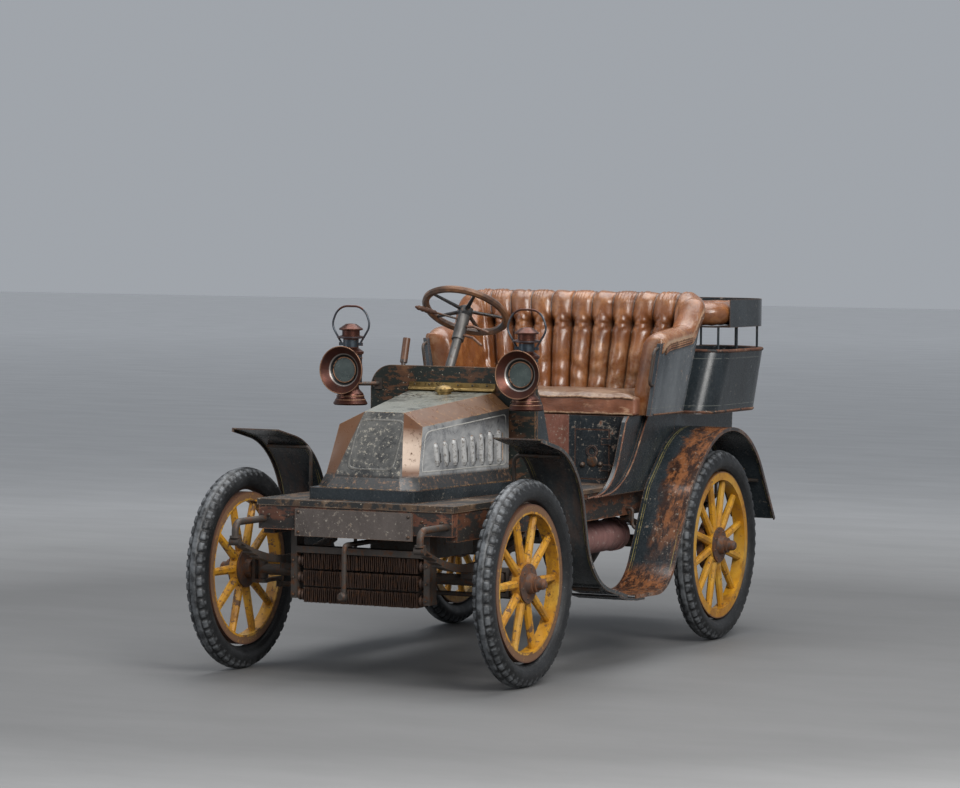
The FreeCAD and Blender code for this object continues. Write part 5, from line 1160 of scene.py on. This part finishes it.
# hand lever with a turned grip, under the steering wheel: a straight line from the column, the grip's radius varying
gripWood = makeWood("gripWood", (0.075, 0.03, 0.014), (0.17, 0.085, 0.04), (0.03, 0.013, 0.008), (0.1, 1, 1))
lever = {"root": (-0.2, 0.0335, 1.3019), "tip": (-0.3732, -0.0511, 1.3552), "rod": 0.0042, "gripFrom": 0.52}
root, tip = np.array(lever["root"]), np.array(lever["tip"])
along = np.linspace(0, lever["gripFrom"] + 0.04, 12)[:, None]
lay("handLever", [tube(root + (tip - root) * along, lever["rod"], 10)], boltIron, "car", "black_iron")
along = np.linspace(lever["gripFrom"], 1, 26)
turned = 0.0075 + 0.0035 * np.sin(pi * np.clip((along - 0.55) / 0.45, 0, 1)) + 0.0012 * np.cos(along * 75)
turned = np.maximum(turned * np.sqrt(np.clip(1 - ((along - 0.76) / 0.2402) ** 6, 0, 1)), 0.0006)
lay("handGrip", [tube(root + (tip - root) * along[:, None], turned, 16)], gripWood, "car", "rim_wood")
print("trim laid")


# ---- floor, lights and camera ----

studio = {"floorTone": 0.15, "midTone": 0.56, "farTone": 0.93, "paleFrom": 3.0, "midAt": 7.5, "farAt": 45.0,
          "floorHalf": 70.0, "worldTone": (0.8, 0.85, 0.92), "worldLevel": 0.44,
          "key": ((5.5, -5.0, 5.0), (0, 0, 0.7), 3.5, 620, (1.0, 0.98, 0.95)),  # place, aim, size, power, colour
          "fill": ((-6.0, -5.5, 3.0), (0, 0, 0.7), 4.5, 110, (0.92, 0.96, 1.0)),
          "top": ((0.0, 0.6, 5.5), (0, 0.2, 0.7), 5.0, 360, (1, 1, 1))}
lens = {"place": (6.0924, -12.9727, 1.6392), "yaw": 0.4457, "pitch": 0.0436, "roll": 0.0103, "focal": 135.85}

f = Finish("studioFloor", Specular_IOR_Level=0.3)
# painted shade round the car: the floor is dark within 3 m of the middle, which also keeps bounce light off the car's
# undersides, and grows paler further off, standing in for a backdrop
far = f.apart(f.along("X"), f.along("Y"))
pale = (f.level(far, studio["paleFrom"], studio["midAt"], (studio["floorTone"], studio["midTone"]))
        + f.level(far, studio["midAt"], studio["farAt"], (0.0, studio["farTone"] - studio["midTone"])))
scuffs = f.level(f.noise(1.1, 8, 0.7, (1, 2.6, 1)), 0.3, 0.75, (1.0, 0.84))
f.tone = pale * scuffs
floorPaint = f.done(0.62, f.noise(40, 4), 0.001, 0.2)
corners = np.array([(-1, -1, 0), (-1, 1, 0), (1, -1, 0), (1, 1, 0)]) * studio["floorHalf"]
mesh = bpy.data.meshes.new("studioFloor")
mesh.from_pydata(corners, [], [(0, 2, 3, 1)])
mesh.materials.append(floorPaint)
floor = addObject("studioFloor", mesh)


def softLight(name, spot, aim, size, power, colour):
    lamp = bpy.data.lights.new(name, "AREA")
    lamp.size, lamp.energy, lamp.color = size, power, colour
    holder = addObject(name, lamp)
    holder.rotation_euler = (Vector(spot) - Vector(aim)).to_track_quat("Z", "Y").to_euler()
    holder.location = spot


for name in ("key", "fill", "top"):
    softLight(name, *studio[name])
world = bpy.data.worlds.new("studioAir")
world.use_nodes = True
air = world.node_tree.nodes["Background"]
air.inputs[0].default_value = (*studio["worldTone"], 1)
air.inputs[1].default_value = studio["worldLevel"]
bpy.context.scene.world = world

camera = addObject("camera", bpy.data.cameras.new("camera"))
camera.data.lens = lens["focal"]
camera.data.clip_end = 200
camera.matrix_world = (Matrix.Translation(lens["place"]) @ Matrix.Rotation(lens["yaw"], 4, "Z")
                       @ Matrix.Rotation(pi / 2 - lens["pitch"], 4, "X") @ Matrix.Rotation(lens["roll"], 4, "Z"))
bpy.context.scene.camera = camera
bpy.context.scene.view_settings.view_transform = "Standard"
print("lights and camera set")
